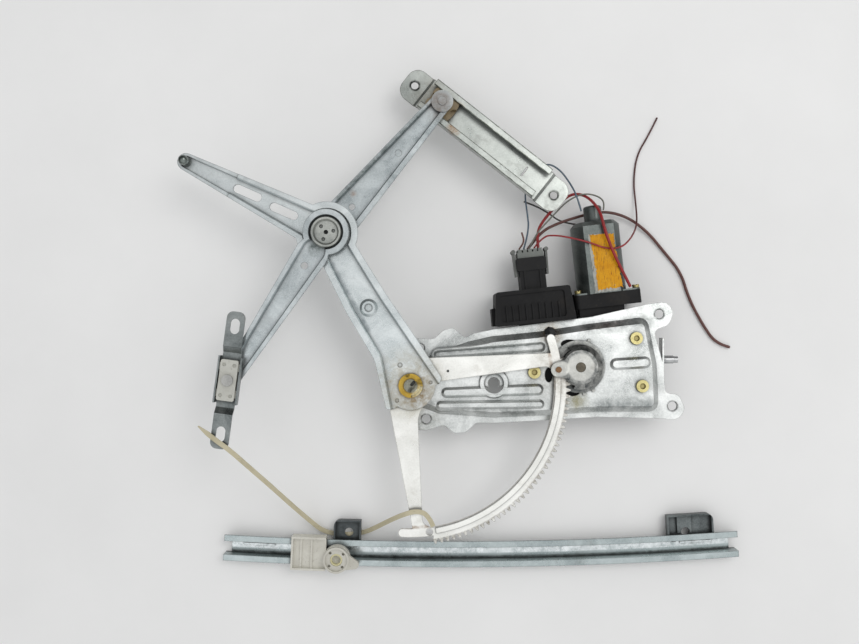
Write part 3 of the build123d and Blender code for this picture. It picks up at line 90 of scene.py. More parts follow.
class Graph:
    """A material's nodes, with short calls to add and join them."""

    def __init__(self, name):
        self.material = bpy.data.materials.new(name)
        self.material.use_nodes = True
        self.nodes = self.material.node_tree.nodes
        self.links = self.material.node_tree.links
        self.shader = self.nodes["Principled BSDF"]
        self.coords = self.nodes.new("ShaderNodeTexCoord").outputs["Object"]

    def add(self, kind, inputs=(), **settings):
        """A node with these settings, and its inputs set to values or joined to sockets."""
        node = self.nodes.new(kind)
        for key, value in settings.items():
            setattr(node, key, value)
        for key, value in dict(inputs).items():
            self.put(node.inputs[key], value)
        return node

    def put(self, socket, value):
        if isinstance(value, bpy.types.NodeSocket):
            self.links.new(value, socket)
        else:
            socket.default_value = value

    def finish(self, colour, rough, normal):
        """The material, with what each of them ends in joined to its shader."""
        for socket, value in (("Base Color", colour), ("Roughness", rough), ("Normal", normal)):
            self.put(self.shader.inputs[socket], value)
        return self.material

    def noise(self, scale, detail, rough, stretch=None, warp=0.0):
        """Noise from 0 to 1; stretch is a turn in radians and a scale for each axis."""
        source = self.coords
        if stretch:
            turn, factors = stretch
            inputs = {"Vector": source, "Rotation": (0, 0, turn), "Scale": factors}
            source = self.add("ShaderNodeMapping", inputs).outputs[0]
        inputs = {"Vector": source, "Scale": scale, "Detail": detail, "Roughness": rough, "Distortion": warp}
        return self.add("ShaderNodeTexNoise", inputs).outputs["Fac"]

    def ramp(self, value, low, high):
        """0 at low and 1 at high, straight between them; low may be the larger."""
        node = self.add("ShaderNodeMapRange", {"Value": value, "From Min": low, "From Max": high})
        return node.outputs["Result"]

    def math(self, operation, *values):
        return self.add("ShaderNodeMath", enumerate(values), operation=operation).outputs[0]

    def vector(self, operation, a, b, result="Vector"):
        """Vector arithmetic; SCALE takes a number as b."""
        second = "Scale" if operation == "SCALE" else 1
        return self.add("ShaderNodeVectorMath", {0: a, second: b}, operation=operation).outputs[result]

    def blend(self, kind, factor, a, b):
        node = self.add("ShaderNodeMix", {"Factor": factor, "A": a, "B": b}, data_type=kind)
        return node.outputs["Result"]

    def mix(self, factor, a, b):
        """From colour a at 0 to colour b at 1."""
        return self.blend("RGBA", factor, a, b)

    def blend_value(self, factor, a, b):
        """From number a at 0 to number b at 1."""
        return self.blend("FLOAT", factor, a, b)

    def near(self, point, inner, outer):
        """1 at a place of the part, in metres, fading to 0."""
        return self.ramp(self.vector("DISTANCE", self.coords, point, "Value"), outer, inner)

    def band(self, point, inner, outer, soft=0.0008):
        """1 between two distances from a place, in metres, 0 elsewhere."""
        away = self.vector("DISTANCE", self.coords, point, "Value")
        return self.math("MULTIPLY", self.ramp(away, inner - soft, inner + soft),
                         self.ramp(away, outer + soft, outer - soft))

    def along(self, start, end, inner, outer):
        """1 on the line between two places, in metres, fading to 0 beside it."""
        run = Vector(end) - Vector(start)
        offset = self.vector("SUBTRACT", self.coords, start)
        dot = self.vector("DOT_PRODUCT", offset, run / run.length_squared, "Value")
        share = self.add("ShaderNodeClamp", {"Value": dot}).outputs["Result"]
        foot = self.vector("SCALE", run, share)
        return self.ramp(self.vector("DISTANCE", offset, foot, "Value"), outer, inner)

    def crevice(self, reach, open_at=0.92, shut_at=0.45, inside=False):
        """1 deep in a corner or under an edge, 0 in the open; from inside, 1 along an outer edge."""
        node = self.add("ShaderNodeAmbientOcclusion", {"Distance": reach}, samples=OCCLUSION_SAMPLES,
                        inside=inside)
        return self.ramp(node.outputs["AO"], open_at, shut_at)

    def bump(self, height, distance, strength, under=None):
        """A normal for this height, on top of another one where that is given."""
        inputs = {"Height": height, "Distance": distance, "Strength": strength}
        if under is not None:
            inputs["Normal"] = under
        return self.add("ShaderNodeBump", inputs).outputs["Normal"]


def metal(name, light, dark, rough=0.36, contrast=1.0, grime=0.25, grime_colour=(70, 62, 52), spots=(),
          rings=(), streaks=(), brushed=(0.6, (1.0, 14.0, 1.0)), metallic=0.85, crevice=0.85,
          crevice_shade_colour=(38, 42, 42), reach=0.006, edge=0.0):
    """Worn plated sheet metal: cloudy plating, fine grain, scratches, and grime that gathers in patches.

    spots, rings and streaks are marks: a place or the two ends of a line, in drawing millimetres, then
    two distances in metres, strength and colour. Most mark grease and rust; some are painted shade and
    painted highlight.
    """
    g = Graph(name)
    cloud = g.ramp(g.noise(SPANGLE * 0.45, 5.0, 0.62, warp=0.6), 0.34, 0.66)
    grain = g.ramp(g.noise(SPANGLE * 9, 3.0, 0.7), 0.30, 0.70)
    tone = g.math("MULTIPLY_ADD", cloud, 0.65 * contrast, 0.5 - 0.33 * contrast)
    tone = g.math("ADD", tone, g.math("MULTIPLY", g.math("SUBTRACT", grain, 0.5), 0.35 * contrast))
    colour = g.mix(tone, lin(*dark), lin(*light))
    scratches = g.ramp(g.noise(420, 2.0, 0.5, stretch=brushed), 0.60, 0.78)
    bright = lin(*[min(255, v + SCRATCH_LIFT) for v in light])
    colour = g.mix(g.math("MULTIPLY", scratches, 0.25), colour, bright)
    patches = g.ramp(g.noise(26, 8.0, 0.72, warp=0.4), 0.56, 0.74)
    specks = g.ramp(g.noise(360, 4.0, 0.7), 0.64, 0.72)
    dirt = g.math("MULTIPLY", g.math("MAXIMUM", patches, g.math("MULTIPLY", specks, 0.6)), grime)
    colour = g.mix(dirt, colour, lin(*grime_colour))
    # painted shade: ambient occlusion darkens corners, creases and the ground under edges; the same mask also
    # dulls the shine and roughens the surface
    corner = g.crevice(reach)
    colour = g.mix(g.math("MULTIPLY", corner, crevice), colour, lin(*crevice_shade_colour))
    dirt = g.math("MAXIMUM", dirt, g.math("MULTIPLY", corner, crevice * 0.8))
    # painted shade: where edge is set, a dark outline along the outer edges
    if edge:
        rim = g.crevice(OUTLINE_SHADE_REACH, 0.80, 0.50, inside=True)
        colour = g.mix(g.math("MULTIPLY", rim, edge), colour, lin(*OUTLINE_SHADE_COLOUR))
    rough_value = g.math("MULTIPLY_ADD", cloud, 0.12, rough - 0.04)
    rough_value = g.math("ADD", rough_value, g.math("MULTIPLY", dirt, 0.35))
    # each mark blends in its colour: grease and rust, and on some parts painted shade and painted highlight
    stains_and_painted_light = [(g.near(place(*point), inner, outer), strength, shade)
              for point, inner, outer, strength, shade in spots]
    stains_and_painted_light += [(g.band(place(*point), inner, outer), strength, shade)
               for point, inner, outer, strength, shade in rings]
    stains_and_painted_light += [(g.along(place(*start), place(*end), inner, outer), strength, shade)
               for start, end, inner, outer, strength, shade in streaks]
    ragged = g.ramp(g.noise(150, 6.0, 0.7, warp=0.5), 0.30, 0.66) if stains_and_painted_light else None
    for mask, strength, shade in stains_and_painted_light:
        cover = g.math("MULTIPLY", g.math("MULTIPLY", mask, ragged), strength)
        colour = g.mix(cover, colour, lin(*shade))
        rough_value = g.blend_value(cover, rough_value, OILY_ROUGHNESS)
    shine = g.math("SUBTRACT", metallic, g.math("MULTIPLY", dirt, DIRT_DULLING))
    g.put(g.shader.inputs["Metallic"], shine)
    pits = g.bump(g.noise(900, 3.0, 0.6), 0.00006, 0.3)
    return g.finish(colour, rough_value, g.bump(g.noise(60, 4.0, 0.6), 0.0004, 0.35, pits))


def plastic(name, colour, worn, rough=0.45, texture=1400.0, grime=0.2, grime_colour=(96, 84, 68),
            sheen=0.5):
    """Moulded plastic: fine spark-eroded grain, rubbed patches and dust."""
    g = Graph(name)
    rub = g.ramp(g.noise(48, 6.0, 0.66, warp=0.5), 0.45, 0.75)
    base = g.mix(g.math("MULTIPLY", rub, 0.55), lin(*colour), lin(*worn))
    specks = g.ramp(g.noise(420, 5.0, 0.75), 0.58, 0.70)
    patches = g.ramp(g.noise(22, 7.0, 0.7), 0.58, 0.75)
    dirt = g.math("MULTIPLY", g.math("MAXIMUM", specks, patches), grime)
    base = g.mix(dirt, base, lin(*grime_colour))
    g.shader.inputs["Specular IOR Level"].default_value = sheen
    grain = g.bump(g.noise(texture, 2.0, 0.5), 0.00005, 0.5)
    return g.finish(base, g.math("MULTIPLY_ADD", rub, 0.16, rough),
                    g.bump(g.noise(90, 3.0, 0.6), 0.0002, 0.25, grain))


def insulation(name, colour, worn, dirty=0.25, dark_end=None):
    """Soft wire covering: slightly uneven, greasy in places."""
    g = Graph(name)
    rub = g.ramp(g.noise(130, 5.0, 0.65), 0.40, 0.70)
    base = g.mix(g.math("MULTIPLY", rub, 0.6), lin(*colour), lin(*worn))
    dirt = g.ramp(g.noise(60, 6.0, 0.7), 0.55, 0.72)
    base = g.mix(g.math("MULTIPLY", dirt, dirty), base, lin(*WIRE_DIRT))
    if dark_end:
        point, inner, outer = dark_end
        base = g.mix(g.math("MULTIPLY", g.near(place(*point), inner, outer), 0.85), base, lin(52, 34, 32))
    return g.finish(base, g.blend_value(rub, 0.34, 0.55), g.bump(g.noise(700, 3.0, 0.6), 0.00008, 0.5))


# ---- wires ---------------------------------------------------------------------------------------
# radius in metres, and control points in drawing millimetres
ROUTES = {
    "wire_red": (0.0015, [
        (131.3, 139.8, 28), (129.5, 156, 25), (139.5, 172, 20.5), (152, 185.5, 19),
        (162.5, 194.5, 17), (171.5, 198, 16.5), (181.5, 195.5, 19.5), (188, 185.5, 34), (192, 173.5, 46.5),
        (196.5, 153, 49), (203.5, 135, 49), (213.5, 116, 46), (223.5, 99.5, 40)]),
    "wire_brown": (0.0015, [
        (121, 139, 24), (134, 157, 17), (153.5, 167, 15), (174.5, 174, 12),
        (190.5, 178.5, 10), (209.5, 180, 9), (231.5, 173.5, 6), (252.5, 158, 3),
        (269, 138, 2), (287, 116.5, 2), (295.5, 88, 2), (310.5, 60, 2), (324.5, 40, 2), (339, 36.5, 2)]),
    "wire_thin_red": (0.0009, [
        (126.1, 139.2, 33), (135, 151.5, 36), (148, 151.5, 42), (162, 148.5, 46.2),
        (181, 144, 45.5), (197.5, 137.5, 45.5), (213, 138.5, 44), (226.5, 149, 30),
        (238, 165.5, 12), (238.5, 188, 4), (236.5, 213, 1), (240, 241.5, 1), (253, 263, 1), (262, 281.5, 1)]),
    "wire_grey": (0.0008, [
        (121, 138.7, 36), (127.5, 153, 38), (138.5, 165, 34), (150.5, 177.5, 27),
        (163, 190, 25), (179, 197, 25), (193, 194.5, 25), (201, 188, 25), (199, 179.5, 26)]),
    "wire_blue": (0.0009, [
        (115.8, 138, 30), (122, 157.5, 28), (120.5, 178, 22), (118, 199.5, 18),
        (126, 220.5, 18), (142, 230, 18), (155, 223, 19), (165.5, 208, 21.5),
        (171.5, 193, 28.5), (176, 178, 27)]),
    "wire_black": (0.0009, [
        (118.5, 190.5, 10), (131.5, 186, 10), (145, 178, 10), (155, 171, 8.5),
        (164.5, 168, 8.5), (174.3, 166, 11.5)]),
}
COVERS = {
    "wire_red": insulation("cover_red", (146, 20, 24), (112, 34, 34), 0.4),
    "wire_brown": insulation("cover_brown", (84, 46, 40), (104, 66, 58)),
    "wire_thin_red": insulation("cover_thin_red", (150, 34, 38), (104, 40, 40), 0.4,
                                dark_end=((262, 281, 1), 0.115, 0.150)),
    "wire_grey": insulation("cover_grey", (92, 94, 86), (126, 124, 112)),
    "wire_blue": insulation("cover_blue", (70, 88, 104), (104, 116, 124)),
    "wire_black": insulation("cover_black", (34, 32, 32), (64, 58, 56)),
}


def nurbs(name, points, radius, material):
    """A round tube on a smooth spline, whose control points are drawing millimetres."""
    curve = bpy.data.curves.new(name, "CURVE")
    curve.dimensions = "3D"
    spline = curve.splines.new("NURBS")
    spline.points.add(len(points) - 1)
    for point, control in zip(spline.points, points):
        point.co = (*place(*control), 1.0)
    spline.order_u = 3
    spline.use_endpoint_u = True
    spline.resolution_u = 12
    curve.bevel_depth = radius
    curve.bevel_resolution = 5
    curve.use_fill_caps = True
    curve.materials.append(material)
    return added(name, curve)


def centre_line(piece):
    """The curve's own line as points, in metres."""
    copy = piece.data.copy()
    copy.bevel_depth = 0
    temp = added("temp", copy)
    bpy.context.view_layer.update()
    mesh = bpy.data.meshes.new_from_object(temp)
    points = [v.co.copy() for v in mesh.vertices]
    bpy.data.objects.remove(temp)
    return points


def run_length(line):
    return sum((b - a).length for a, b in zip(line, line[1:]))


for name, (radius, points) in ROUTES.items():
    piece = nurbs("cord_" + name, points, radius, COVERS[name])
    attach(piece, "plate")
    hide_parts(name)
    length = run_length(centre_line(piece))


# ---- node finishes -------------------------------------------------------------------------------
MOTOR_TURN = math.radians(6.45)              # the motor leans this far left of straight up
RAIL_MIDDLE = (73.0, -181.3)
RAIL_BOW = 8100                              # millimetres: twice the radius of the lift rail's bow
RAIL_SLOPE = 0.00698                         # at its middle
RAIL_LEFT, RAIL_SPAN = -200, 545
RAIL_RUNS = 6                                # straight runs that follow the bow
DARK_GREASE = (52, 42, 30)
ARM_SPOTS = [
    ((0, 0, 58), 0.014, 0.045, 0.75, (150, 138, 110)),
    ((6, -8, 58), 0.006, 0.026, 0.8, (120, 98, 62)),
    ((-83, 151.7, 60), 0.010, 0.030, 0.35, (120, 118, 112)),
]
# near black round each hole: grime, and painted shade for the dark inside of the hole
HOLE_DIRT_AND_SHADE = (34, 36, 34)
EAR_HOLES = [(8.7, 36.7), (15.5, -35.3), (252.5, 71.4), (265.8, -22.2)]
GUIDE_HOLES = [(3.7, 306.7), (146.7, 193.7)]
BLACK = {"rough": 0.58, "grime": 0.12, "sheen": 0.25}
SOCKET_BLACK = {"rough": 0.55, "grime": 0.1, "sheen": 0.25}


def rail_streaks(offset, z, inner, outer, strength, shade):
    """Streaks end to end along the bowed rail, beside its middle line."""
    def at(x):
        d = x - RAIL_MIDDLE[0]
        return (x, RAIL_MIDDLE[1] + d * d / RAIL_BOW + RAIL_SLOPE * d + offset, z)
    ends = [RAIL_LEFT + RAIL_SPAN * n / RAIL_RUNS for n in range(RAIL_RUNS + 1)]
    return [(at(a), at(b), inner, outer, strength, shade) for a, b in zip(ends, ends[1:])]


PLATE_SHADE = [
    # painted shade on the pressed slopes of the plate
    ((16, 12, 45), (128, 27, 45), 0.002, 0.0075, 0.85, (72, 78, 78)),
    ((16, 31, 45), (128, 41, 45), 0.001, 0.0030, 0.8, (96, 101, 101)),
    ((12, -18, 45), (122, -29, 45), 0.002, 0.0065, 0.85, (84, 88, 86)),
    ((190, -21, 45), (240, -19, 45), 0.002, 0.0100, 0.95, (104, 110, 110)),
    ((180, 58, 45), (240, 63, 45), 0.003, 0.0090, 1.1, (128, 132, 130)),
    ((18, 30, 45), (56, 50, 45), 0.002, 0.007, 0.7, (110, 114, 114)),
]
# painted shade along the inner side of the drive arm's left flange and of the upper cross arm's flange
ARM_SHADE = [((-78, 120.6, 60), (-42.5, 55.4, 60), 0.0010, 0.0036, 1.1, (122, 131, 134)),
             ((-42.5, 55.4, 60), (-30, 24, 60), 0.0008, 0.0026, 0.9, (132, 140, 142))]
UPPER_SHADE = [((-74, 187, 52), (16, 279, 52), 0.0012, 0.0032, 1.1, (88, 96, 94))]
GUIDE_EDGE_SHADE = [
    # painted shade: dark lines along the free edges and outer corners of the guide rail's lips
    ((start[0], start[1], 45), (end[0], end[1], 45), 0.0003, 0.0011, 1.7, (58, 62, 54))
    for start, end in [((23.7, 304.7), (140.1, 212.7)), ((10.3, 287.6), (126.7, 195.7)),
                       ((27.7, 309.7), (144.1, 217.7)), ((6.3, 282.6), (122.7, 190.7))]
]
FINISHES = {
    "drive_arm": metal("arm_zinc", (228, 233, 233), (176, 184, 185), rough=0.27, contrast=0.9, grime=0.22,
                       spots=ARM_SPOTS, rings=[((0, 0, 62), 0.0105, 0.0135, 0.5, (96, 84, 48))],
                       streaks=ARM_SHADE, edge=0.6),
    "cross_arm_upper": metal("cross_zinc", (206, 212, 213), (138, 147, 149), rough=0.27, contrast=0.9,
                             grime=0.24, edge=0.6,
                             spots=[((30, 283, 50), 0.006, 0.024, 0.5, (104, 74, 46)),
                                    ((-58, 192.7, 50), 0.001, 0.0045, 0.7, (140, 104, 76))],
                             streaks=UPPER_SHADE),
    "cross_arm_lower": metal("cross_lower_zinc", (214, 220, 221), (152, 160, 162), rough=0.27,
                             contrast=0.9, grime=0.22, edge=0.6,
                             spots=[((-93.6, 135.8, 67), 0.003, 0.0095, 1.2, (84, 92, 90))]),
    "mounting_plate": metal("plate_zinc", (232, 234, 232), (164, 168, 166), rough=0.28, contrast=1.1,
                            grime=0.42, edge=0.6,
                            spots=[((141, 53, 48), 0.005, 0.016, 0.95, (110, 84, 40)),
                                   ((6, -34, 42), 0.004, 0.034, 0.5, (112, 104, 84)),
                                   ((150, 14, 48), 0.010, 0.040, 0.6, (92, 84, 62)),
                                   ((168, -18, 48), 0.003, 0.014, 0.7, (120, 112, 60))],
                            rings=[((x, y, 41), 0.0043, 0.0058, 1.4, HOLE_DIRT_AND_SHADE) for x, y in EAR_HOLES],
                            streaks=PLATE_SHADE),
    "sector_gear": metal("sector_zinc", (244, 244, 240), (208, 208, 202), rough=0.30, contrast=0.8,
                         grime=0.40, grime_colour=(128, 116, 92), edge=0.6,
                         rings=[((0, 0, 55), 0.1405, 0.1435, 0.75, (132, 104, 76)),
                                ((0, 0, 55), 0.1552, 0.1592, 0.75, (92, 82, 62))],
                         spots=[((0, 0, 55), 0.018, 0.040, 0.6, (150, 140, 104)),
                                ((148, 10, 56), 0.008, 0.034, 0.55, (104, 88, 58))]),
    "pivot_stud": metal("stud_steel", (168, 168, 154), (88, 86, 72), rough=0.34, grime=0.5,
                        grime_colour=(52, 46, 24),
                        streaks=[((-1, -5, 63), (7, 4, 62), 0.0012, 0.0028, 1.0, (30, 28, 22))]),
    "pivot_ring": metal("ring_gold", (204, 172, 78), (150, 118, 38), rough=0.3, grime=0.35,
                        grime_colour=(84, 62, 20),
                        spots=[((-3.5, 11, 61), 0.0020, 0.0036, 1.0, (24, 22, 16)),
                               ((10, 3.5, 61), 0.0022, 0.0050, 0.9, (60, 52, 24)),
                               ((8.5, -7, 61), 0.0040, 0.0090, 1.0, (214, 214, 190))]),
    "locating_peg": metal("peg_steel", (196, 197, 196), (138, 140, 142), rough=0.3),
    "gearbox_screws": metal("screw_gold", (216, 208, 156), (178, 166, 108), rough=0.3, grime=0.3,
                            grime_colour=(120, 96, 30), crevice_shade_colour=(96, 78, 18), reach=0.004),
    "motor_screws": metal("motor_screw_gold", (216, 202, 140), (160, 142, 84), rough=0.26, grime=0.2),
    "pinion_cover": metal("cover_steel", (198, 198, 193), (146, 147, 143), rough=0.3, contrast=1.1, grime=0.5,
                          grime_colour=(104, 98, 84), crevice=0.95, reach=0.008,
                          rings=[((169, 18.4, 61), 0.0136, 0.030, 1.0, (70, 74, 74))],
                          streaks=[((144, 16, 61), (151, 17, 61), 0.0062, 0.0078, 1.0, (206, 206, 200))]),
    "guide_button": metal("button_steel", (134, 104, 76), (92, 66, 46), rough=0.42, grime=0.5),
    "drive_pinion": metal("pinion_steel", (110, 104, 92), (56, 50, 42), rough=0.3, grime=0.6,
                          grime_colour=DARK_GREASE),
    "hub_rivet": metal("hub_steel", (196, 198, 192), (132, 136, 132), rough=0.3, contrast=1.1,
                       grime=0.35, crevice=0.95),
    "guide_pin": metal("guide_pin_steel", (178, 181, 180), (122, 126, 126), rough=0.3, grime=0.35,
                       spots=[((30, 283, 53), 0.009, 0.012, 0.5, (92, 60, 34))]),
    "bracket_pin": metal("bracket_pin_steel", (190, 190, 186), (130, 130, 128), rough=0.34),
    "ball_stud": metal("ball_steel", (150, 156, 152), (86, 94, 90), rough=0.24, grime=0.4),
    "guide_rail": metal("guide_zinc", (196, 200, 195), (146, 151, 147), rough=0.3, contrast=0.9,
                        grime=0.4, crevice=0.95, reach=0.007, edge=0.95,
                        spots=[((43, 259, 44), 0.002, 0.009, 1.5, (134, 92, 40)),
                               ((47, 279, 44), 0.002, 0.009, 1.5, (122, 86, 38)),
                               ((24, 290, 30), 0.008, 0.030, 0.55, (112, 90, 60)),
                               ((7, 297, 30), 0.012, 0.020, 0.5, (120, 125, 121))],
                        rings=[((x, y, 31), 0.0036, 0.0056, 1.6, HOLE_DIRT_AND_SHADE) for x, y in GUIDE_HOLES],
                        streaks=GUIDE_EDGE_SHADE),
    "guide_roller": plastic("roller_brown", (124, 108, 78), (164, 150, 118), rough=0.34, grime=0.6,
                            grime_colour=(84, 58, 28)),
    "glass_bracket": metal("bracket_zinc", (150, 155, 154), (88, 94, 94), rough=0.3, contrast=1.1, grime=0.4),
    "slide_block": plastic("block_grey", (188, 188, 180), (156, 154, 146), rough=0.5, grime=0.5),
    "lift_rail": metal("rail_zinc", (190, 199, 199), (134, 145, 146), rough=0.26, contrast=0.8, grime=0.26,
                       brushed=(0.007, (1.0, 22.0, 1.0)), crevice=0.95, reach=0.006, edge=0.6,
                       # a painted highlight streak along the rail's floor, and a painted shade streak along
                       # the inner face of one wall
                       streaks=rail_streaks(1.6, 1.0, 0.0030, 0.0042, 0.85, (236, 240, 241))
                       + rail_streaks(-7.2, 2.0, 0.0016, 0.0030, 1.0, (50, 56, 54))),
    "left_bracket": metal("left_bracket_dark", (92, 97, 98), (46, 50, 51), rough=0.34, grime=0.35),
    "right_bracket": metal("right_bracket_dark", (118, 124, 124), (52, 57, 58), rough=0.34, grime=0.35),
    "bracket_rivets": metal("rivet_steel", (150, 153, 155), (100, 103, 105)),
    "rail_slider": plastic("slider_cream", (206, 204, 194), (176, 172, 160), rough=0.5, grime=0.45),
    "socket_lever": plastic("lever_cream", (198, 196, 186), (164, 160, 148), rough=0.5, grime=0.55),
    "socket_ring": plastic("ring_yellow", (206, 200, 158), (176, 168, 124), rough=0.45, grime=0.3),
    "gearbox_housing": plastic("housing_black", (14, 14, 15), (26, 26, 27), **BLACK),
    "gearbox_lid": plastic("lid_black", (14, 14, 15), (26, 26, 27), **BLACK),
    "control_module": plastic("module_black", (13, 13, 14), (24, 24, 25), **BLACK),
    "connector_socket": plastic("socket_black", (16, 16, 17), (28, 28, 29), **SOCKET_BLACK),
    "connector_plug": plastic("plug_black", (18, 18, 19), (32, 32, 33), **SOCKET_BLACK),
    "connector_seal": plastic("seal_grey", (104, 108, 104), (136, 138, 132), rough=0.6, grime=0.4),
    "connector_levers": plastic("levers_grey", (92, 95, 92), (126, 127, 122), rough=0.55, grime=0.4),
    "motor_can": metal("can_zinc", (112, 117, 115), (62, 68, 66), rough=0.34,
                       brushed=(MOTOR_TURN, (14.0, 1.0, 1.0)), crevice=0.9),
    "motor_magnets": metal("magnet_ferrite", (62, 62, 64), (36, 36, 38), rough=0.6, metallic=0.2),
    "motor_bearings": metal("bearing_bronze", (170, 132, 84), (116, 84, 50), rough=0.4),
    "brush_card": plastic("card_brown", (110, 82, 52), (140, 110, 76)),
    "armature_shaft": metal("shaft_steel", (176, 178, 180), (128, 130, 132), rough=0.28),
    "armature_core": metal("core_steel", (128, 126, 122), (86, 84, 80), rough=0.45),
    "armature_winding": metal("winding_copper", (178, 104, 62), (120, 62, 34), rough=0.35),
    "commutator": metal("commutator_copper", (196, 124, 82), (134, 78, 46), rough=0.3),
    "worm_wheel": plastic("wheel_cream", (200, 192, 168), (172, 162, 136), rough=0.45),
    "wire_stub": insulation("stub_brown", (84, 50, 42), (112, 76, 64)),
}
for node, material in FINISHES.items():
    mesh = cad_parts[node].data
    for index in range(len(mesh.materials)):
        mesh.materials[index] = material


# ---- cable tie -----------------------------------------------------------------------------------
TIE_ROUTE = [
    (-205.5, -37.5, 80), (-190, -50, 80.5), (-174.5, -61, 80.5), (-160, -77.5, 71),
    (-141.5, -101.5, 50), (-123, -126, 30), (-108, -145.5, 12), (-94.5, -160, 2.5),
    (-73.5, -164, 2), (-50, -161, 2.5), (-36, -151.5, 16), (-22.5, -139.5, 39),
    (-9, -129, 58.8), (6, -124, 60.8), (17.5, -128, 60.8), (22.5, -140, 60)]
tie_finish = plastic("tie_nylon", (190, 182, 154), (164, 154, 124), rough=0.42, texture=600, grime=0.4)
TIE_WIDTH, TIE_GAUGE = 0.0046, 0.0013
TIE_STEP = 0.0009                            # from each rib to the next groove
TIE_TAPER = 0.016                            # the tip widens by the whole width over this length
TIP_SHARE = 0.25                             # of the width, at the very tip
RIB_RISE = 0.00012
RIB_SHARE = 0.72                             # of the width


def resampled(line, step):
    """Points along a line at an even distance."""
    out, carry = [line[0]], 0.0
    for a, b in zip(line, line[1:]):
        gap = (b - a).length
        at = step - carry
        while at < gap:
            out.append(a.lerp(b, at / gap))
            at += step
        carry = gap - (at - step)
    return out + [line[-1]]


def strip(name, line, width, gauge, material):
    """A flat strap along a line, with fine ribs across it, pointed at its start."""
    mesh = bpy.data.meshes.new(name)
    work = bmesh.new()
    rings = []
    travelled = 0.0
    for n, point in enumerate(line):
        if n:
            travelled += (point - line[n - 1]).length
        ahead = (line[min(n + 1, len(line) - 1)] - line[max(n - 1, 0)]).normalized()
        side = ahead.cross(Vector((0, 0, 1))).normalized()
        up = side.cross(ahead).normalized()
        half = width / 2 * min(1.0, TIP_SHARE + travelled / TIE_TAPER)
        rib = RIB_RISE if n % 2 else 0.0
        low, high, rib_half = -gauge / 2, gauge / 2, half * RIB_SHARE
        corners = [(-half, low), (half, low), (half, high),
                   (rib_half, high + rib), (-rib_half, high + rib), (-half, high)]
        rings.append([work.verts.new(point + side * x + up * z) for x, z in corners])
    for before, after in zip(rings, rings[1:]):
        for k in range(len(before)):
            n = (k + 1) % len(before)
            work.faces.new((before[k], before[n], after[n], after[k]))
    work.faces.new(list(reversed(rings[0])))
    work.faces.new(rings[-1])
    bmesh.ops.recalc_face_normals(work, faces=work.faces)
    work.to_mesh(mesh)
    work.free()
    mesh.materials.append(material)
    return added(name, mesh)


guide = nurbs("tie_guide", TIE_ROUTE, 0.0015, tie_finish)
tie_line = resampled(centre_line(guide), TIE_STEP)
bpy.data.objects.remove(guide)
tie = strip("tie_strap", tie_line, TIE_WIDTH, TIE_GAUGE, tie_finish)
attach(tie, "lift_rail")
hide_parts("cable_tie")
length = run_length(tie_line)
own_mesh(tie)


# ---- motor label ---------------------------------------------------------------------------------
CAN_TOP = 43.5                               # drawing millimetres: the can's upper flat
LABEL = [(181.1, 152.0), (205.6, 153.7), (215.5, 98.5), (190.1, 94.9)]
BACKING = [(179.4, 152.4), (203.0, 153.9), (213.2, 96.0), (187.2, 92.4)]
SHEET_ACROSS, SHEET_DOWN = 26, 52            # faces
SHEET_GAUGE = 0.00006
TORN_FROM, TORN_SHARE = 0.86, 0.14           # from a sheet's middle: where tearing starts, and the rest
TEAR = 0.004                                 # metres in from the edge, at most
STREAK_TURN = 1.68                           # radians: the dirt streaks run down the label


def sheet_on_can(name, corners, material, lift, ragged):
    """A thin sheet stuck on the flat of the can between four corners, with torn edges."""
    mesh = bpy.data.meshes.new(name)
    work = bmesh.new()
    a, b, c, d = [place(x, y, CAN_TOP + lift) for x, y in corners]
    rows = []
    for j in range(SHEET_DOWN + 1):
        row = []
        for i in range(SHEET_ACROSS + 1):
            u, v = i / SHEET_ACROSS, j / SHEET_DOWN
            point = a.lerp(b, u).lerp(d.lerp(c, u), v)
            rim = max(abs(u - 0.5), abs(v - 0.5)) * 2
            if rim > TORN_FROM:
                tear = noise.noise(Vector((u * 7, v * 15, lift * 40)))
                pull = tear * ragged * (rim - TORN_FROM) / TORN_SHARE
                point += ((a + c) / 2 - point).normalized() * (abs(pull) * TEAR)
            row.append(work.verts.new(point))
        rows.append(row)
    for upper, lower in zip(rows, rows[1:]):
        for i in range(SHEET_ACROSS):
            work.faces.new((upper[i], lower[i], lower[i + 1], upper[i + 1]))
    bmesh.ops.recalc_face_normals(work, faces=work.faces)
    bmesh.ops.solidify(work, geom=list(work.faces), thickness=SHEET_GAUGE)
    work.to_mesh(mesh)
    work.free()
    mesh.materials.append(material)
    piece = added(name, mesh)
    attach(piece, "plate")


def paper(name, colour, worn, stain):
    """Faded printed paper: mottled colour, rubbed-off patches, dirt streaks and a slightly uneven surface."""
    g = Graph(name)
    fade = g.ramp(g.noise(95, 6.0, 0.7, warp=0.6), 0.35, 0.70)
    base = g.mix(fade, lin(*colour), lin(*worn))
    dark = g.ramp(g.noise(170, 7.0, 0.75, stretch=(STREAK_TURN, (5.0, 1.0, 1.0)), warp=0.5), 0.51, 0.66)
    base = g.mix(g.math("MULTIPLY", dark, 0.9), base, lin(*stain))
    flake = g.ramp(g.noise(240, 6.0, 0.7), 0.66, 0.70)
    base = g.mix(g.math("MULTIPLY", flake, 0.6), base, lin(196, 190, 172))
    g.shader.inputs["Specular IOR Level"].default_value = 0.25
    return g.finish(base, g.blend_value(fade, 0.42, 0.65), g.bump(g.noise(260, 5.0, 0.6), 0.00012, 0.5))


# the last two numbers are how high a sheet lies above the can, in millimetres, and how torn it is
sheet_on_can("label_backing", BACKING,
             paper("backing_paper", (176, 176, 168), (150, 150, 144), (92, 90, 86)), 0.10, 0.5)
sheet_on_can("label_face", LABEL,
             paper("label_paper", (214, 156, 2), (200, 134, 4), (124, 66, 20)), 0.20, 1.0)


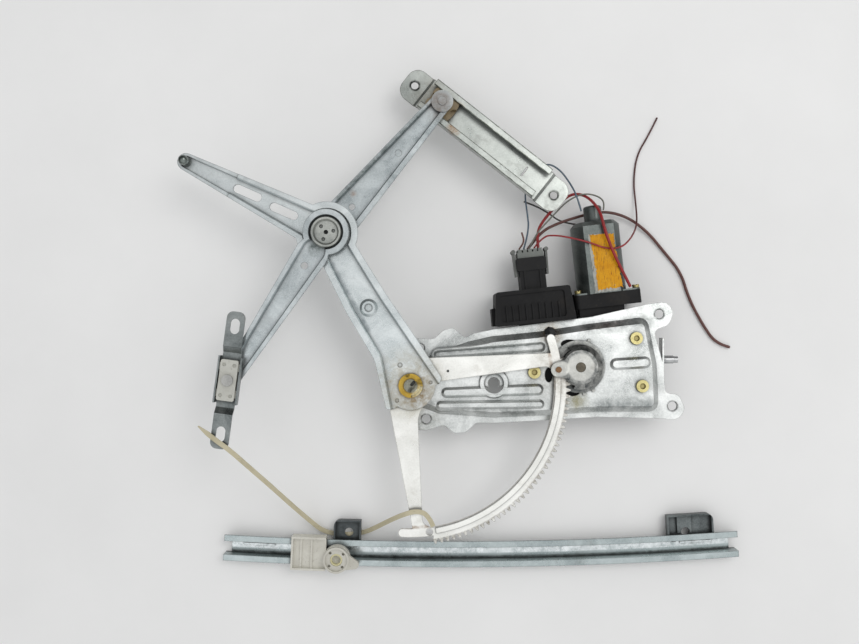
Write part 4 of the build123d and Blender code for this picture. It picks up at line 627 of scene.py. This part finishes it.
# ---- floor, light --------------------------------------------------------------------------------
FLOOR_HALF = 3                               # metres
FLOOR_DROP = 0.0002                          # so that what lies at z 0 doesn't share its plane
AMBIENT = 0.70                               # the world's strength, except in reflections
SKY_LEAN = (0.4, -0.6, 1.0)                  # reflections see a sky that brightens this way
SKY_RANGE = {"From Min": 0.25, "From Max": 1.05, "To Min": 0.05, "To Max": 1.12}
SKY_COLOUR = (0.985, 0.99, 1.0, 1.0)


def floor():
    mesh = bpy.data.meshes.new("floor")
    corners = [(x * FLOOR_HALF, y * FLOOR_HALF, 0) for x, y in ((-1, -1), (1, -1), (1, 1), (-1, 1))]
    mesh.from_pydata(corners, [], [(0, 1, 2, 3)])
    g = Graph("floor_paint")
    cloud = g.ramp(g.noise(3.0, 6.0, 0.6), 0.3, 0.7)
    colour = g.mix(cloud, lin(230, 230, 229), lin(238, 238, 237))
    mesh.materials.append(g.finish(colour, 0.85, g.bump(g.noise(60, 6.0, 0.6), 0.0003, 0.25)))
    piece = added("floor", mesh)
    piece.location.z = -FLOOR_DROP


def lamp(name, place_at, size, power, colour):
    """A round lamp that points at the middle of the part."""
    data = bpy.data.lights.new(name, "AREA")
    data.shape = "DISK"
    data.size = size
    data.energy = power
    data.color = colour
    piece = added(name, data)
    piece.location = place_at
    piece.rotation_euler = (-Vector(place_at)).to_track_quat("-Z", "Y").to_euler()


floor()
lamp("key", (0.9, 0.7, 2.0), 1.4, 13, (1.0, 0.99, 0.98))
lamp("fill", (-1.4, -0.6, 1.8), 2.2, 4, (0.97, 0.98, 1.0))

world = bpy.data.worlds.new("sky")
bpy.context.scene.world = world
world.use_nodes = True
nodes, links = world.node_tree.nodes, world.node_tree.links
coords = nodes.new("ShaderNodeTexCoord")
toward = nodes.new("ShaderNodeVectorMath")
toward.operation = "DOT_PRODUCT"
toward.inputs[1].default_value = SKY_LEAN
links.new(coords.outputs["Generated"], toward.inputs[0])
sky = nodes.new("ShaderNodeMapRange")
for key, value in SKY_RANGE.items():
    sky.inputs[key].default_value = value
links.new(toward.outputs["Value"], sky.inputs["Value"])
path = nodes.new("ShaderNodeLightPath")
level = nodes.new("ShaderNodeMix")
level.data_type = "FLOAT"
level.inputs["A"].default_value = AMBIENT
links.new(path.outputs["Is Glossy Ray"], level.inputs["Factor"])
links.new(sky.outputs["Result"], level.inputs["B"])
background = nodes["Background"]
background.inputs["Color"].default_value = SKY_COLOUR
links.new(level.outputs["Result"], background.inputs["Strength"])
bpy.context.scene.view_settings.view_transform = "Standard"
